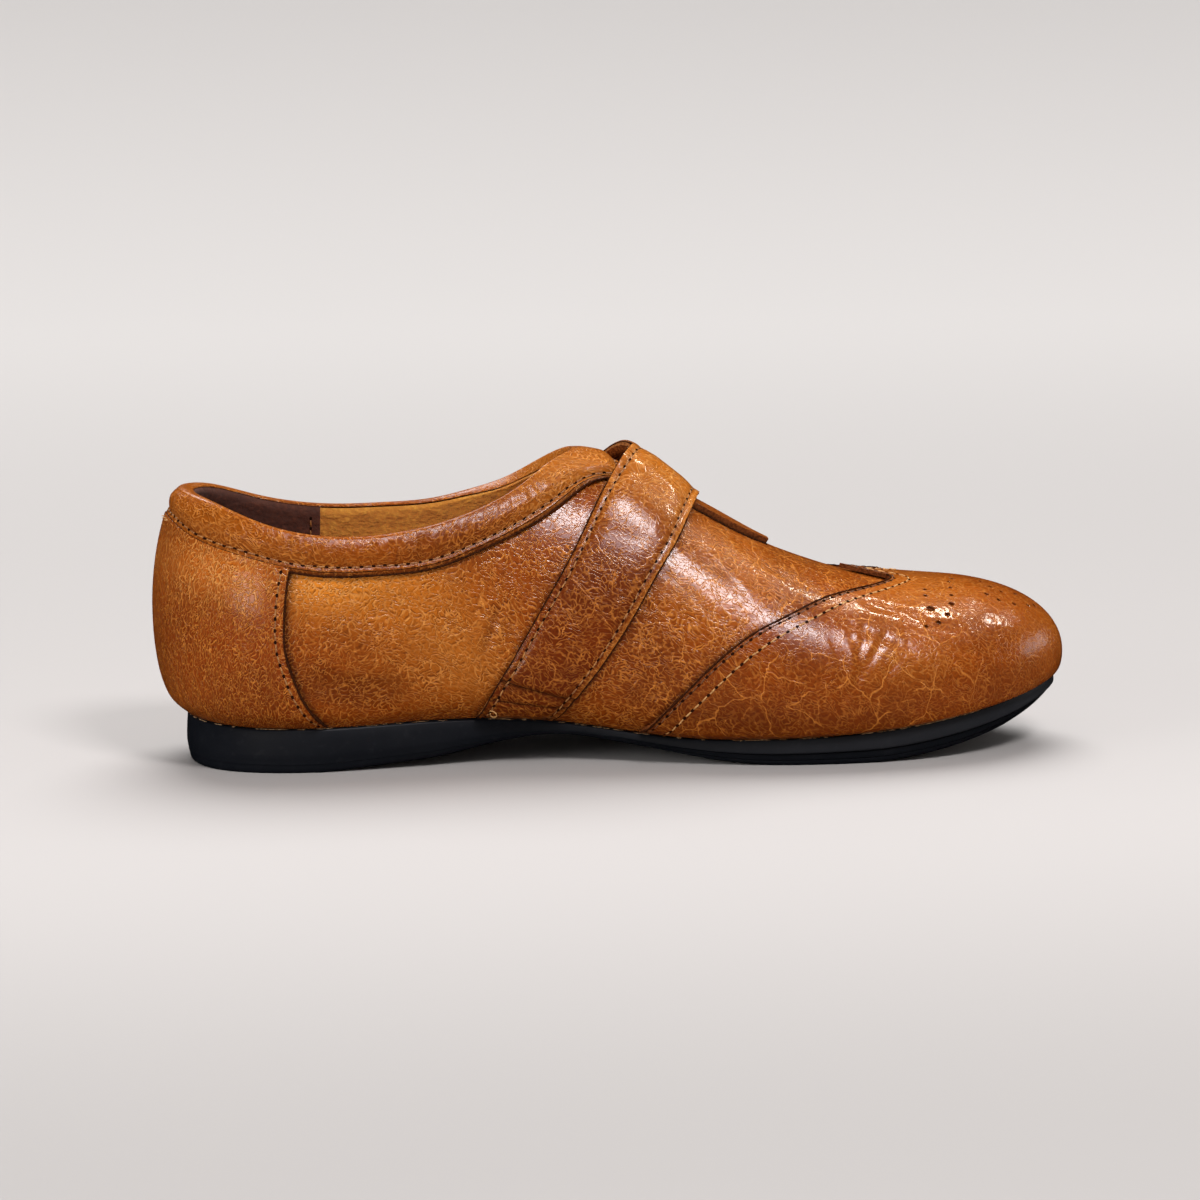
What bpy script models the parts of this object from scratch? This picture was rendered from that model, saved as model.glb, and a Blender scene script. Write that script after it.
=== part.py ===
"""Brogue strap flat: a low leather slip-on with a wing toe cap and an instep strap, on a moulded rubber sole.

The shoe is a left one. Metres, +Z up, toe towards +X, the inner side of the foot towards -Y; the origin is
the middle of the shoe's box on the floor. Sizes below are in millimetres; x is measured from the back of the
heel, where an empty carries every piece.

Every leather piece is a patch of one last surface, last_point(u, t, side): u runs from the back of the heel
(0) to the toe tip (1), t from the feather line at the sole (0) to the ridge on top (1), and side is -1 for
the inner and +1 for the outer half.
"""

import bmesh
import bpy
import numpy as np

MM = 0.001
NAME = "brogue_strap_flat"
ORIGIN = (130.0, 0.0, 0.0)

# Leather and clearances
WALL = 2.0
GAP = 0.3
OVERLAY_GAP = 0.45
LINING_GAP = 0.7
OVERLAY = 1.2
BAND_THICKNESS = 1.3
STRAP_THICKNESS = 1.8
TAB_THICKNESS = 1.4
HEM_T = 0.05
INNER_SIDE, OUTER_SIDE = -1, 1


def table(columns, rows):
    """Named columns from rows of numbers."""
    return dict(zip(columns.split(), np.array(rows, float).T))


# One row per section of the last, heel to toe: the feather line, where the upper meets the sole, and the
# girth line, where the upper is widest. in and out are distances from the shoe's axis to either side.
LAST = table(
    "feather_x feather_in feather_out feather_z girth_x girth_in girth_out girth_z",
    [
        (9.8, 0.0, 0.0, 13.6, 1.5, 0.0, 0.0, 42.0),  # back of the heel
        (16.2, 17.5, 17.5, 13.2, 9.6, 21.0, 21.0, 40.5),  # turn of the heel
        (33.0, 25.5, 26.0, 12.6, 30.0, 30.5, 30.5, 37.0),  # side of the heel
        (60.0, 25.0, 27.5, 13.0, 60.0, 31.5, 32.0, 34.0),  # front of the heel
        (88.0, 22.0, 28.5, 13.2, 88.0, 30.0, 33.0, 32.0),  # waist
        (115.0, 23.0, 31.0, 12.0, 115.0, 31.0, 35.5, 29.0),  # arch
        (142.0, 30.0, 35.5, 9.6, 142.0, 36.0, 39.5, 25.0),  # behind the joints
        (172.0, 37.5, 39.0, 7.8, 172.0, 42.0, 43.0, 21.5),  # joints
        (200.0, 38.0, 36.5, 8.7, 200.0, 42.0, 40.5, 21.0),  # before the joints
        (228.0, 32.5, 27.5, 11.7, 229.0, 35.5, 31.0, 22.5),  # shoulder of the toe
        (247.5, 22.0, 14.5, 15.3, 249.0, 23.8, 16.3, 24.3),  # turn of the toe
        (257.4, 5.0, -5.0, 17.9, 259.0, 5.0, -5.0, 25.5),  # toe tip
    ],
)
# The ridge along the top. Behind the throat it is the closed top of the last, above the opening.
RIDGE = table(
    "x y z",
    [
        (30, 0, 97),
        (52, 0, 99),
        (82, 0, 96),
        (94, 0, 91.8),
        (103, -0.5, 88.2),
        (110, -1, 85.8),
        (118, -1, 83.8),
        (125, -1.5, 82.6),
        (132, -2, 80.2),
        (142, -2.5, 75.2),
        (157, -3, 66.8),
        (171, -3.5, 58.4),
        (185, -4, 52.4),
        (199, -4, 49.4),
        (214, -4, 47.7),
        (228, -4, 46.4),
    ],
)
HEEL_POLE, TOE_POLE, POLE_BLEND = 32.0, 227.0, 6.0
GIRTH_T = 0.25
LOWER_OUT, LOWER_UP, LOWER_LIFT = 0.75, 0.18, 0.5
UPPER_ROUND = 0.56

# Edge of the opening: height at each girth x, on the inner and on the outer side, up to the throat
COLLAR = table(
    "x z_in z_out",
    [
        (1.5, 76.2, 76.2),
        (9.6, 74.6, 74.6),
        (30, 68.2, 68.2),
        (52, 64.8, 64.8),
        (68, 65.9, 65.4),
        (82, 68.9, 67.0),
        (94, 73.4, 70.4),
        (103, 78.0, 73.8),
        (110, 81.9, 78.2),
        (118, 83.8, 83.8),
    ],
)
THROAT_X = 118.0
# Lower edge of the collar band; its front edge crosses the ridge under the strap
BAND = table(
    "x z_in z_out",
    [
        (1.5, 68.3, 68.3),
        (9.6, 64.0, 64.0),
        (21, 60.4, 60.4),
        (35, 57.0, 57.0),
        (47, 55.3, 55.3),
        (59, 55.3, 55.1),
        (77, 57.0, 55.8),
        (88, 60.7, 58.5),
        (98, 64.7, 61.2),
        (107, 69.1, 64.8),
        (115, 73.9, 69.2),
        (120, 76.7, 71.8),
        (125, 78.0, 73.4),
        (132, 77.4, 73.4),
    ],
)
BAND_FRONT_X = 132.0
BAND_TURN_X = 96.0
THROAT_STEPS = ((BAND_TURN_X, 110.0, 3), (110.0, THROAT_X, 4))
BAND_INSIDE = 5.0
# Front edge of the heel counter: x at each share of the height from the sole to the collar band
COUNTER = table(
    "share x",
    [(0, 45.5), (0.31, 38.8), (0.47, 36.3), (0.58, 34.8), (0.70, 34.6), (0.83, 35.0), (1, 36.4)],
)
# Edges of the strap: x at each t
STRAP = table(
    "t rear front",
    [
        (0.0, 87.5, 108.7),
        (0.13, 91.0, 114.0),
        (0.21, 94.8, 118.5),
        (0.31, 101.5, 125.8),
        (0.40, 107.4, 131.6),
        (0.50, 113.3, 136.8),
        (0.63, 119.6, 142.9),
        (0.80, 126.6, 148.2),
        (1.0, 133.0, 152.6),
    ],
)
STRAP_SIDE_LIFT = 1.8
STRAP_RISE_T = {INNER_SIDE: (0.56, 0.76), OUTER_SIDE: (0.40, 0.60)}
STRAP_REAR_LIFT, STRAP_FRONT_LIFT = 6.2, 2.3
# Edge of the toe cap: x at each t, a wing, a valley, and a point on the ridge
WING = table(
    "t x",
    [
        (0.0, 132.5),
        (0.16, 140.0),
        (0.27, 148.6),
        (0.35, 155.8),
        (0.44, 164.2),
        (0.53, 173.5),
        (0.64, 183.8),
        (0.74, 194.3),
        (0.83, 203.6),
        (0.89, 207.8),
        (0.95, 205.6),
        (1.0, 195.0),
    ],
)
# The tab: half its width in t, and how far it stands off the vamp
TAB = table(
    "x half_t lift",
    [
        (132.4, 0.1, 0.0),
        (150, 0.088, 0.1),
        (156, 0.086, 0.4),
        (164, 0.078, 0.6),
        (171, 0.05, 0.4),
        (176.4, 0.026, 0.1),
    ],
)

# The sole: height of its bottom edge on either side, how far that edge is drawn in, depth of the side step
SOLE = table(
    "x z_in z_out inset step",
    [
        (8, 0.0, 0.0, 1.2, 0.0),
        (44, 0.0, 0.0, 1.2, 0.0),
        (54, 0.7, 0.5, 1.2, 0.0),
        (67, 1.7, 1.1, 1.3, 0.0),
        (78, 2.8, 1.7, 1.5, 0.0),
        (88, 4.8, 2.6, 1.6, 0.0),
        (97, 6.6, 3.6, 1.6, 0.0),
        (107, 7.8, 4.3, 1.5, 0.0),
        (116, 7.7, 4.2, 1.5, 0.0),
        (124, 6.5, 3.4, 1.4, 0.1),
        (136, 4.4, 2.1, 1.4, 0.4),
        (148, 2.2, 1.0, 1.4, 0.6),
        (160, 0.6, 0.3, 1.5, 0.7),
        (170, 0.0, 0.0, 1.5, 0.7),
        (200, 0.0, 0.0, 1.6, 0.7),
        (214, 0.9, 0.9, 1.9, 0.7),
        (228, 2.8, 2.8, 2.6, 0.7),
        (240, 5.6, 5.6, 3.2, 0.7),
        (250, 9.0, 9.0, 3.6, 0.7),
        (259, 12.2, 12.2, 3.8, 0.7),
    ],
)
FLAT_HEEL, FLAT_FOREFOOT = (8.0, 44.0), (170.0, 200.0)
SOLE_MARGIN, SOLE_BULGE = 0.7, 0.3
STEP_SHARE, STEP_HEIGHT = 0.52, 0.5
EDGE_SHARE, EDGE_INSET = 0.35, 0.25
INSOLE_INSET, INSOLE_THICKNESS = 3.2, 2.4


def spline(knots, values, at, period=None):
    """Smooth cubic through the knots, with free ends, or closed on itself after one period."""
    at = np.asarray(at, float)
    if period is not None:
        knots = np.append(knots, knots[0] + period)
        values = np.append(values, values[0])
    count = len(knots)
    width = np.diff(knots)
    chord = np.diff(values) / width
    matrix = np.zeros((count, count))
    right = np.zeros(count)
    for i in range(1, count - 1):
        matrix[i, i - 1 : i + 2] = 1 / width[i - 1], 2 / width[i - 1] + 2 / width[i], 1 / width[i]
        right[i] = 3 * (chord[i - 1] / width[i - 1] + chord[i] / width[i])
    if period is None:
        matrix[0, :2] = 2, 1
        matrix[-1, -2:] = 1, 2
        right[[0, -1]] = 3 * chord[0], 3 * chord[-1]
    else:
        matrix[0, [0, -1]] = 1, -1
        matrix[-1, [0, 1, -2, -1]] = 2 / width[0], 1 / width[0], 1 / width[-1], 2 / width[-1]
        right[-1] = 3 * (chord[0] / width[0] + chord[-1] / width[-1])
    slope = np.linalg.solve(matrix, right)
    i = np.clip(np.searchsorted(knots, at, side="right") - 1, 0, count - 2)
    s = (at - knots[i]) / width[i]
    ends = values[i] * (1 + 2 * s) * (1 - s) ** 2 + values[i + 1] * s * s * (3 - 2 * s)
    return ends + width[i] * s * (1 - s) * (slope[i] * (1 - s) - slope[i + 1] * s)


def smooth_step(value, low, high):
    s = np.clip((value - low) / (high - low), 0, 1)
    return s * s * (3 - 2 * s)


def section_positions():
    """u of every row of LAST, by the mean length of the girth line on the two sides."""
    along = np.diff(LAST["girth_x"])
    inner = np.hypot(along, np.diff(LAST["girth_in"]))
    outer = np.hypot(along, np.diff(LAST["girth_out"]))
    length = np.concatenate([[0], np.cumsum(inner + outer)])
    return length / length[-1]


SECTION_U = section_positions()


def outline(which, u, side):
    """Point of the feather or girth line, a closed curve round both sides."""
    loop_u = np.concatenate([SECTION_U, 2 - SECTION_U[-2:0:-1]])
    along = u if side == INNER_SIDE else 2 - u

    def closed(inner, outer):
        return spline(loop_u, np.concatenate([inner, outer[-2:0:-1]]), np.mod(along, 2), 2)

    x = closed(LAST[which + "_x"], LAST[which + "_x"])
    y = closed(-LAST[which + "_in"], LAST[which + "_out"])
    z = closed(LAST[which + "_z"], LAST[which + "_z"])
    return np.stack([x, y, z], -1)


def ridge_point(x):
    return np.stack([x, spline(RIDGE["x"], RIDGE["y"], x), spline(RIDGE["x"], RIDGE["z"], x)], -1)


def bezier(points, s):
    a, b, c, d = points
    s = s[..., None]
    return a * (1 - s) ** 3 + 3 * b * s * (1 - s) ** 2 + 3 * c * s * s * (1 - s) + d * s**3


def last_point(u, t, side):
    """The last: ribs from the feather line out to the girth line, then over to the ridge."""
    u, t = np.broadcast_arrays(np.asarray(u, float), np.asarray(t, float))
    flat = np.array([1.0, 1.0, 0.0])
    up = np.array([0.0, 0.0, 1.0])
    foot = outline("feather", u, side)
    girth = outline("girth", u, side)
    top_x = HEEL_POLE + POLE_BLEND * np.logaddexp(0, (girth[..., 0] - HEEL_POLE) / POLE_BLEND)
    top_x = TOE_POLE - POLE_BLEND * np.logaddexp(0, (TOE_POLE - top_x) / POLE_BLEND)
    top = ridge_point(top_x)
    slope = (ridge_point(top_x + 0.5) - ridge_point(top_x - 0.5))[..., 2]
    out = girth - foot
    lower = (foot, foot + out * (flat * LOWER_OUT + up * LOWER_UP), girth - out * up * LOWER_LIFT, girth)
    spread = (girth - top) * flat
    tangent = spread + up * (slope * spread[..., 0])[..., None]
    upper = (girth, girth + (top - girth) * up * UPPER_ROUND, top + tangent * UPPER_ROUND, top)
    below = bezier(lower, np.clip(t / GIRTH_T, 0, 1))
    above = bezier(upper, np.clip((t - GIRTH_T) / (1 - GIRTH_T), 0, 1))
    return np.where((t < GIRTH_T)[..., None], below, above)


def last_normal(u, t, side, step=1e-4):
    """Outward normal of the last, taken just below the pole where the ribs of the toe run together."""
    t = np.where(u > 0.85, np.minimum(t, 0.998), t)
    along = last_point(u + step, t, side) - last_point(u - step, t, side)
    upward = last_point(u, np.minimum(t + step, 1), side) - last_point(u, np.maximum(t - step, 0), side)
    normal = np.cross(upward, along) * side
    return normal / np.linalg.norm(normal, axis=-1, keepdims=True)


def lifted(u, t, side, lift):
    """Point at a height above the last, or below it where the lift is negative."""
    u, t = np.broadcast_arrays(np.asarray(u, float), np.asarray(t, float))
    return last_point(u, t, side) + last_normal(u, t, side) * np.asarray(lift, float)[..., None]


def station(x):
    """u of the rib whose girth point lies at x."""
    u = np.linspace(0, 1, 4001)
    return np.interp(x, outline("girth", u, INNER_SIDE)[:, 0], u)


def t_at_height(u, z, side):
    """t above the girth line at which a rib reaches a height, 1 where the ridge is lower than that."""
    low = np.full(np.shape(u), GIRTH_T)
    high = np.ones(np.shape(u))
    for _ in range(40):
        middle = (low + high) / 2
        below = last_point(u, middle, side)[..., 2] < z
        low = np.where(below, middle, low)
        high = np.where(below, high, middle)
    return high


def collar_height(x, side):
    return spline(COLLAR["x"], COLLAR["z_in" if side == INNER_SIDE else "z_out"], np.minimum(x, THROAT_X))


def collar_t(u, side):
    """t of the edge of the opening, 1 in front of the throat."""
    x = outline("girth", u, side)[..., 0]
    return np.where(x > THROAT_X - 0.01, 1.0, t_at_height(u, collar_height(x, side), side))


def band_t(u, side):
    """t of the lower edge of the collar band."""
    x = outline("girth", u, side)[..., 0]
    return t_at_height(u, spline(BAND["x"], BAND["z_in" if side == INNER_SIDE else "z_out"], x), side)


def spread_stations(*stretches):
    """u values over stretches of the shoe, each given as first x, last x and number of steps."""
    parts = [np.linspace(station(first), station(last), steps + 1)[:-1] for first, last, steps in stretches]
    return np.concatenate(parts + [[station(stretches[-1][1])]])


def add_object(name, mesh_data, colour, roughness):
    """Object with its own material, placed from the back of the heel."""
    material = bpy.data.materials.new(name)
    material.use_nodes = True
    shader = material.node_tree.nodes["Principled BSDF"]
    shader.inputs["Base Color"].default_value = (*colour, 1)
    shader.inputs["Roughness"].default_value = roughness
    obj = bpy.data.objects.new(name, mesh_data)
    obj.data.materials.append(material)
    obj.data.shade_smooth()
    obj.parent = heel_point
    shoe.objects.link(obj)
    return obj


def mesh_from_grids(name, grids):
    """One welded mesh from grids of points; a grid marked True has its faces turned over."""
    points, faces = [], []
    for grid, turned in grids:
        rows, columns = grid.shape[:2]
        first = len(points)
        points.extend(grid.reshape(-1, 3) * MM)
        for i in range(rows - 1):
            for j in range(columns - 1):
                a = first + i * columns + j
                quad = (a, a + columns, a + columns + 1, a + 1)
                faces.append(quad[::-1] if turned else quad)
    mesh = bpy.data.meshes.new(name)
    mesh.from_pydata([tuple(p) for p in points], [], faces)
    work = bmesh.new()
    work.from_mesh(mesh)
    bmesh.ops.remove_doubles(work, verts=work.verts, dist=0.02 * MM)
    work.to_mesh(mesh)
    work.free()
    return mesh


def add_sheet(name, grids, thickness, colour, roughness=0.4, outward=True):
    """Leather piece: an open surface of both sides, thickened away from the last or into it."""
    obj = add_object(name, mesh_from_grids(name, grids), colour, roughness)
    solidify = obj.modifiers.new("thickness", "SOLIDIFY")
    solidify.thickness = thickness * MM
    solidify.offset = 1 if outward else -1
    solidify.use_even_offset = True
    solidify.use_quality_normals = True
    return obj


def both_sides(patch):
    """The same patch on the inner and the outer side, faces outward."""
    return [(patch(INNER_SIDE), False), (patch(OUTER_SIDE), True)]


def upper_patch(side):
    u = spread_stations(
        (1.5, 9.6, 4), (9.6, 40, 5), (40, BAND_TURN_X, 7), *THROAT_STEPS, (THROAT_X, 226, 13), (226, 259, 9)
    )
    share = np.concatenate([np.linspace(0, 0.3, 5), np.linspace(0.3, 1, 9)[1:]])
    top = collar_t(u, side)
    return last_point(u[:, None], share * top[:, None], side)


def toe_cap_patch(side):
    t = np.concatenate([np.linspace(HEM_T, 0.25, 5), np.linspace(0.25, 0.83, 8)[1:], [0.89, 0.95, 1.0]])
    edge = station(spline(WING["t"], WING["x"], t))
    share = 1 - (1 - np.linspace(0, 1, 17)) ** 1.3
    u = edge + share[:, None] * (1 - edge)
    return lifted(u, np.broadcast_to(t, u.shape), side, np.full(u.shape, OVERLAY_GAP))


def heel_counter_patch(side):
    share = np.linspace(0, 1, 9)
    edge = station(spline(COUNTER["share"], COUNTER["x"], share))
    u = edge * (np.linspace(0, 1, 11) ** 0.9)[:, None]
    top = band_t(u, side) - 0.006
    t = HEM_T + share * (top - HEM_T)
    return lifted(u, t, side, np.full(u.shape, GAP))


def collar_band_patch(side):
    """From the lower edge up the outside, round the edge of the upper, and down the inside."""
    back = spread_stations((1.5, 9.6, 3), (9.6, 40, 4), (40, BAND_TURN_X, 7))
    front = spread_stations(*THROAT_STEPS)[1:]
    edge_u = np.concatenate([back, front])
    edge_t = collar_t(edge_u, side)
    lower_front = spread_stations((BAND_TURN_X, BAND_FRONT_X, len(front) - 3))[1:]
    crossing = np.full(3, lower_front[-1])
    low_u = np.concatenate([back, lower_front, crossing])
    low_t = band_t(low_u, side)
    low_t[-3:] += (1 - low_t[-3:]) * np.linspace(1, 3, 3) / 3

    def on_last(across, lift):
        u = edge_u + (low_u - edge_u) * across
        t = edge_t + (low_t - edge_t) * across
        return lifted(u, t, side, np.full(u.shape, lift))

    radius = (OVERLAY_GAP + WALL + LINING_GAP) / 2
    rim = on_last(0, OVERLAY_GAP - radius)
    outward = last_normal(edge_u, edge_t, side)
    upward = on_last(0, 0) - on_last(0.05, 0)
    upward /= np.linalg.norm(upward, axis=-1, keepdims=True)
    inside_share = BAND_INSIDE / np.linalg.norm(on_last(1, 0) - on_last(0, 0), axis=-1)
    outside = [on_last(across, OVERLAY_GAP) for across in (1, 0.67, 0.33, 0)]
    roll = [rim + radius * (outward * np.cos(a) + upward * np.sin(a)) for a in np.radians([45, 90, 135])]
    inside = [on_last(across * inside_share, -WALL - LINING_GAP) for across in (0, 0.5, 1)]
    return np.stack(outside + roll + inside, axis=1)


def strap_patch(side):
    t = np.concatenate([np.linspace(HEM_T, 0.25, 4), np.linspace(0.25, 1, 17)[1:]])
    across = np.linspace(0, 1, 6)[:, None]
    rear = spline(STRAP["t"], STRAP["rear"], t)
    front = spline(STRAP["t"], STRAP["front"], t)
    u = station(rear + (front - rear) * across)
    top_lift = STRAP_REAR_LIFT + (STRAP_FRONT_LIFT - STRAP_REAR_LIFT) * across
    side_lift = GAP + STRAP_SIDE_LIFT * smooth_step(t, *STRAP_RISE_T[side]) * (1 - across**2)
    lift = side_lift + (top_lift - side_lift) * smooth_step(t, 0.76, 0.96)
    return lifted(u, np.broadcast_to(t, u.shape), side, lift)


def tongue_tab_patch(side):
    x = np.linspace(TAB["x"][0], TAB["x"][-1], 10)
    across = np.linspace(1, 0, 4)
    t = 1 - spline(TAB["x"], TAB["half_t"], x)[:, None] * across
    lift = GAP + spline(TAB["x"], TAB["lift"], x)[:, None] * np.ones(across.shape)
    u = np.broadcast_to(station(x)[:, None], t.shape)
    return lifted(u, t, side, lift)


def feather_offset(u, side, out):
    """The feather line moved outward in plan, or inward where out is negative."""
    along = outline("feather", u + 1e-4, side) - outline("feather", u - 1e-4, side)
    outward = np.stack([-along[:, 1], along[:, 0], np.zeros(len(along))], -1) * side
    outward /= np.linalg.norm(outward, axis=-1, keepdims=True)
    return outline("feather", u, side) + outward * np.asarray(out)[..., None]


def across_shoe(first, last, count):
    """Rows of points from one edge line to the other, without the ends."""
    return [first + (last - first) * share for share in np.linspace(0, 1, count + 2)[1:-1]]


def with_height(points, z):
    raised = points.copy()
    raised[:, 2] = z
    return raised


def sole_sides(u, side):
    """Edge lines down one side of the sole, top to bottom."""
    top = feather_offset(u, side, np.full(len(u), SOLE_MARGIN))
    top[:, 2] -= GAP
    x = top[:, 0]
    bottom_z = np.maximum(spline(SOLE["x"], SOLE["z_in" if side == INNER_SIDE else "z_out"], x), 0)
    for first, last in (FLAT_HEEL, FLAT_FOREFOOT):
        bottom_z[(x > first) & (x < last)] = 0
    step = np.maximum(spline(SOLE["x"], SOLE["step"], x), 0)
    inset = spline(SOLE["x"], SOLE["inset"], x)
    step_z = top[:, 2] + (bottom_z - top[:, 2]) * STEP_SHARE
    edge_z = bottom_z + (step_z - bottom_z) * EDGE_SHARE
    return [
        top,
        with_height(feather_offset(u, side, SOLE_MARGIN + SOLE_BULGE), step_z),
        with_height(feather_offset(u, side, SOLE_MARGIN + SOLE_BULGE - step), step_z - STEP_HEIGHT),
        with_height(feather_offset(u, side, SOLE_MARGIN - step - inset * EDGE_INSET), edge_z),
        with_height(feather_offset(u, side, SOLE_MARGIN - step - inset), bottom_z),
    ]


def add_outsole():
    u = spread_stations((1.5, 9.6, 4), (9.6, 40, 5), (40, 226, 22), (226, 259, 8))
    inner = sole_sides(u, INNER_SIDE)
    outer = sole_sides(u, OUTER_SIDE)
    top = across_shoe(inner[0], outer[0], 3)
    bottom = across_shoe(outer[-1], inner[-1], 3)
    loop = np.stack(top + outer + bottom + inner[::-1] + top[:1], axis=1)
    add_object("outsole", mesh_from_grids("outsole", [(loop, False)]), (0.012, 0.013, 0.018), 0.45)


def add_insole():
    u = spread_stations((1.5, 9.6, 3), (9.6, 40, 4), (40, 226, 16), (226, 259, 6))
    rows = []
    for lift in (GAP, GAP + INSOLE_THICKNESS):
        edges = [feather_offset(u, side, np.full(len(u), -INSOLE_INSET)) for side in (INNER_SIDE, OUTER_SIDE)]
        for edge in edges:
            edge[:, 2] += lift - GAP
        rows.append([edges[0], *across_shoe(edges[0], edges[1], 2), edges[1]])
    loop = np.stack(rows[1] + rows[0][::-1] + rows[1][:1], axis=1)
    add_object("insole", mesh_from_grids("insole", [(loop, False)]), (0.24, 0.11, 0.035), 0.7)


for old in list(bpy.data.objects):
    bpy.data.objects.remove(old)
shoe = bpy.data.collections.new(NAME)
bpy.context.scene.collection.children.link(shoe)
heel_point = bpy.data.objects.new("heel_point", None)
heel_point.location = [-size * MM for size in ORIGIN]
shoe.objects.link(heel_point)

add_outsole()
add_insole()
add_sheet("upper", both_sides(upper_patch), WALL, (0.36, 0.105, 0.016), outward=False)
add_sheet("toe_cap", both_sides(toe_cap_patch), OVERLAY, (0.29, 0.075, 0.013))
add_sheet("heel_counter", both_sides(heel_counter_patch), OVERLAY, (0.28, 0.066, 0.010))
add_sheet("collar_band", both_sides(collar_band_patch), BAND_THICKNESS, (0.42, 0.13, 0.02))
add_sheet("tongue_tab", both_sides(tongue_tab_patch), TAB_THICKNESS, (0.30, 0.08, 0.014))
add_sheet("strap", both_sides(strap_patch), STRAP_THICKNESS, (0.25, 0.05, 0.008))
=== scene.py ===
"""Looks of the brogue strap flat: fine leather pieces, linings, stitches, a rubber sole, and a plain studio.

Sizes are in millimetres and x is measured from the back of the heel; to_frame moves a point to the frame, in
metres. The first tables and the last surface, last_point(u, t, side), follow the solids, with a few heights
finer by up to 3 mm, so each fine piece lies where its solid does: u runs from the back of the heel (0) to the
toe tip (1), t from the feather line at the sole (0) to the ridge on top (1), and side is -1 for the inner and
+1 for the outer half.
"""

import bmesh
import bpy
import numpy as np
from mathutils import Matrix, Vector
from mathutils.bvhtree import BVHTree


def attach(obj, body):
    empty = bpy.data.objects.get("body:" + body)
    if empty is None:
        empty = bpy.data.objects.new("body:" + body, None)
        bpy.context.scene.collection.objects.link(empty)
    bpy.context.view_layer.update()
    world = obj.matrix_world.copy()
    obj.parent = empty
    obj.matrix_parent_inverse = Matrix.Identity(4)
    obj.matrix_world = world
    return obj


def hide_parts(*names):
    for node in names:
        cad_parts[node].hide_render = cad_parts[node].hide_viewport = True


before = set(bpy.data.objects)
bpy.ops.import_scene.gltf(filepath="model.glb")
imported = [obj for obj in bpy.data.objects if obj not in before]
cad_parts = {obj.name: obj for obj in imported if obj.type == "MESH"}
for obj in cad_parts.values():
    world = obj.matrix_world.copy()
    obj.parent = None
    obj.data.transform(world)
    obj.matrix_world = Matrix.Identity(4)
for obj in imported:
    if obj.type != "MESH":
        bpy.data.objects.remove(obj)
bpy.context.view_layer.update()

MM = 0.001
ORIGIN = np.array([130.0, 0.0, 0.0])
INNER_SIDE, OUTER_SIDE = -1, 1
SIDES = (INNER_SIDE, OUTER_SIDE)
rng = np.random.default_rng(11)


def table(columns, rows):
    """Named columns from rows of numbers."""
    return dict(zip(columns.split(), np.array(rows, float).T))


# Thicknesses and clearances of the leather
WALL = 2.0
GAP = 0.3
OVERLAY_GAP = 0.45
OVERLAY = 1.2
BAND_THICKNESS = 1.3
STRAP_THICKNESS = 1.8
TAB_THICKNESS = 1.4
COUNTER_FACE, WING_FACE, BAND_FACE = GAP + OVERLAY, OVERLAY_GAP + OVERLAY, OVERLAY_GAP + BAND_THICKNESS

# Sections of the last: its feather line at the sole, and its girth line where it is widest
LAST = table(
    "feather_x feather_in feather_out feather_z girth_x girth_in girth_out girth_z",
    [
        (9.8, 0.0, 0.0, 13.6, 1.5, 0.0, 0.0, 42.0),  # back of the heel
        (16.2, 17.5, 17.5, 13.2, 9.6, 21.0, 21.0, 40.5),  # turn of the heel
        (33.0, 25.5, 26.0, 12.6, 30.0, 30.5, 30.5, 37.0),  # side of the heel
        (60.0, 25.0, 27.5, 13.0, 60.0, 31.5, 32.0, 34.0),  # front of the heel
        (88.0, 22.0, 28.5, 13.2, 88.0, 30.0, 33.0, 32.0),  # waist
        (115.0, 23.0, 31.0, 11.3, 115.0, 31.0, 35.5, 29.0),  # arch
        (142.0, 30.0, 35.5, 7.9, 142.0, 36.0, 39.5, 25.0),  # behind the joints
        (172.0, 37.5, 39.0, 7.8, 172.0, 42.0, 43.0, 21.5),  # joints
        (200.0, 38.0, 36.5, 9.3, 200.0, 42.0, 40.5, 21.0),  # before the joints
        (228.0, 32.5, 27.5, 13.2, 229.0, 35.5, 31.0, 22.5),  # shoulder of the toe
        (247.5, 22.0, 14.5, 17.7, 249.0, 23.8, 16.3, 24.3),  # turn of the toe
        (257.4, 5.0, -5.0, 20.8, 259.0, 5.0, -5.0, 25.5),  # toe tip
    ],
)
HEEL_X, HEEL_TURN_X = LAST["girth_x"][:2]
TOE_X = LAST["girth_x"][-1]
# Ridge line on top of the last
RIDGE = table(
    "x y z",
    [
        (30, 0, 97), (52, 0, 99), (82, 0, 96), (94, 0, 91.8), (103, -0.5, 88.2), (110, -1, 85.8),
        (118, -1, 83.8), (125, -1.5, 82.6), (132, -2, 80.2), (142, -2.5, 75.2), (157, -3, 66.8),
        (171, -3.5, 59.1), (185, -4, 53.4), (199, -4, 49.1), (214, -4, 46.9), (228, -4, 45.8),
    ],
)
HEEL_POLE, TOE_POLE, POLE_BLEND = 32.0, 227.0, 6.0
GIRTH_T = 0.25
FOOT_T = 0.012  # where the pieces laid on the upper begin, above the sole
LOWER_OUT, LOWER_UP, LOWER_LIFT = 0.75, 0.18, 0.5
UPPER_ROUND = 0.56
# Edge of the opening: its height on either side, to the throat in front
COLLAR = table(
    "x z_in z_out",
    [
        (1.5, 76.2, 76.2), (9.6, 74.6, 74.6), (30, 68.2, 68.2), (52, 64.8, 64.8), (68, 65.9, 65.4),
        (82, 68.9, 67.0), (94, 73.4, 70.4), (103, 78.0, 73.8), (110, 81.9, 78.2), (118, 83.8, 83.8),
    ],
)
THROAT_X = 118.0
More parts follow.
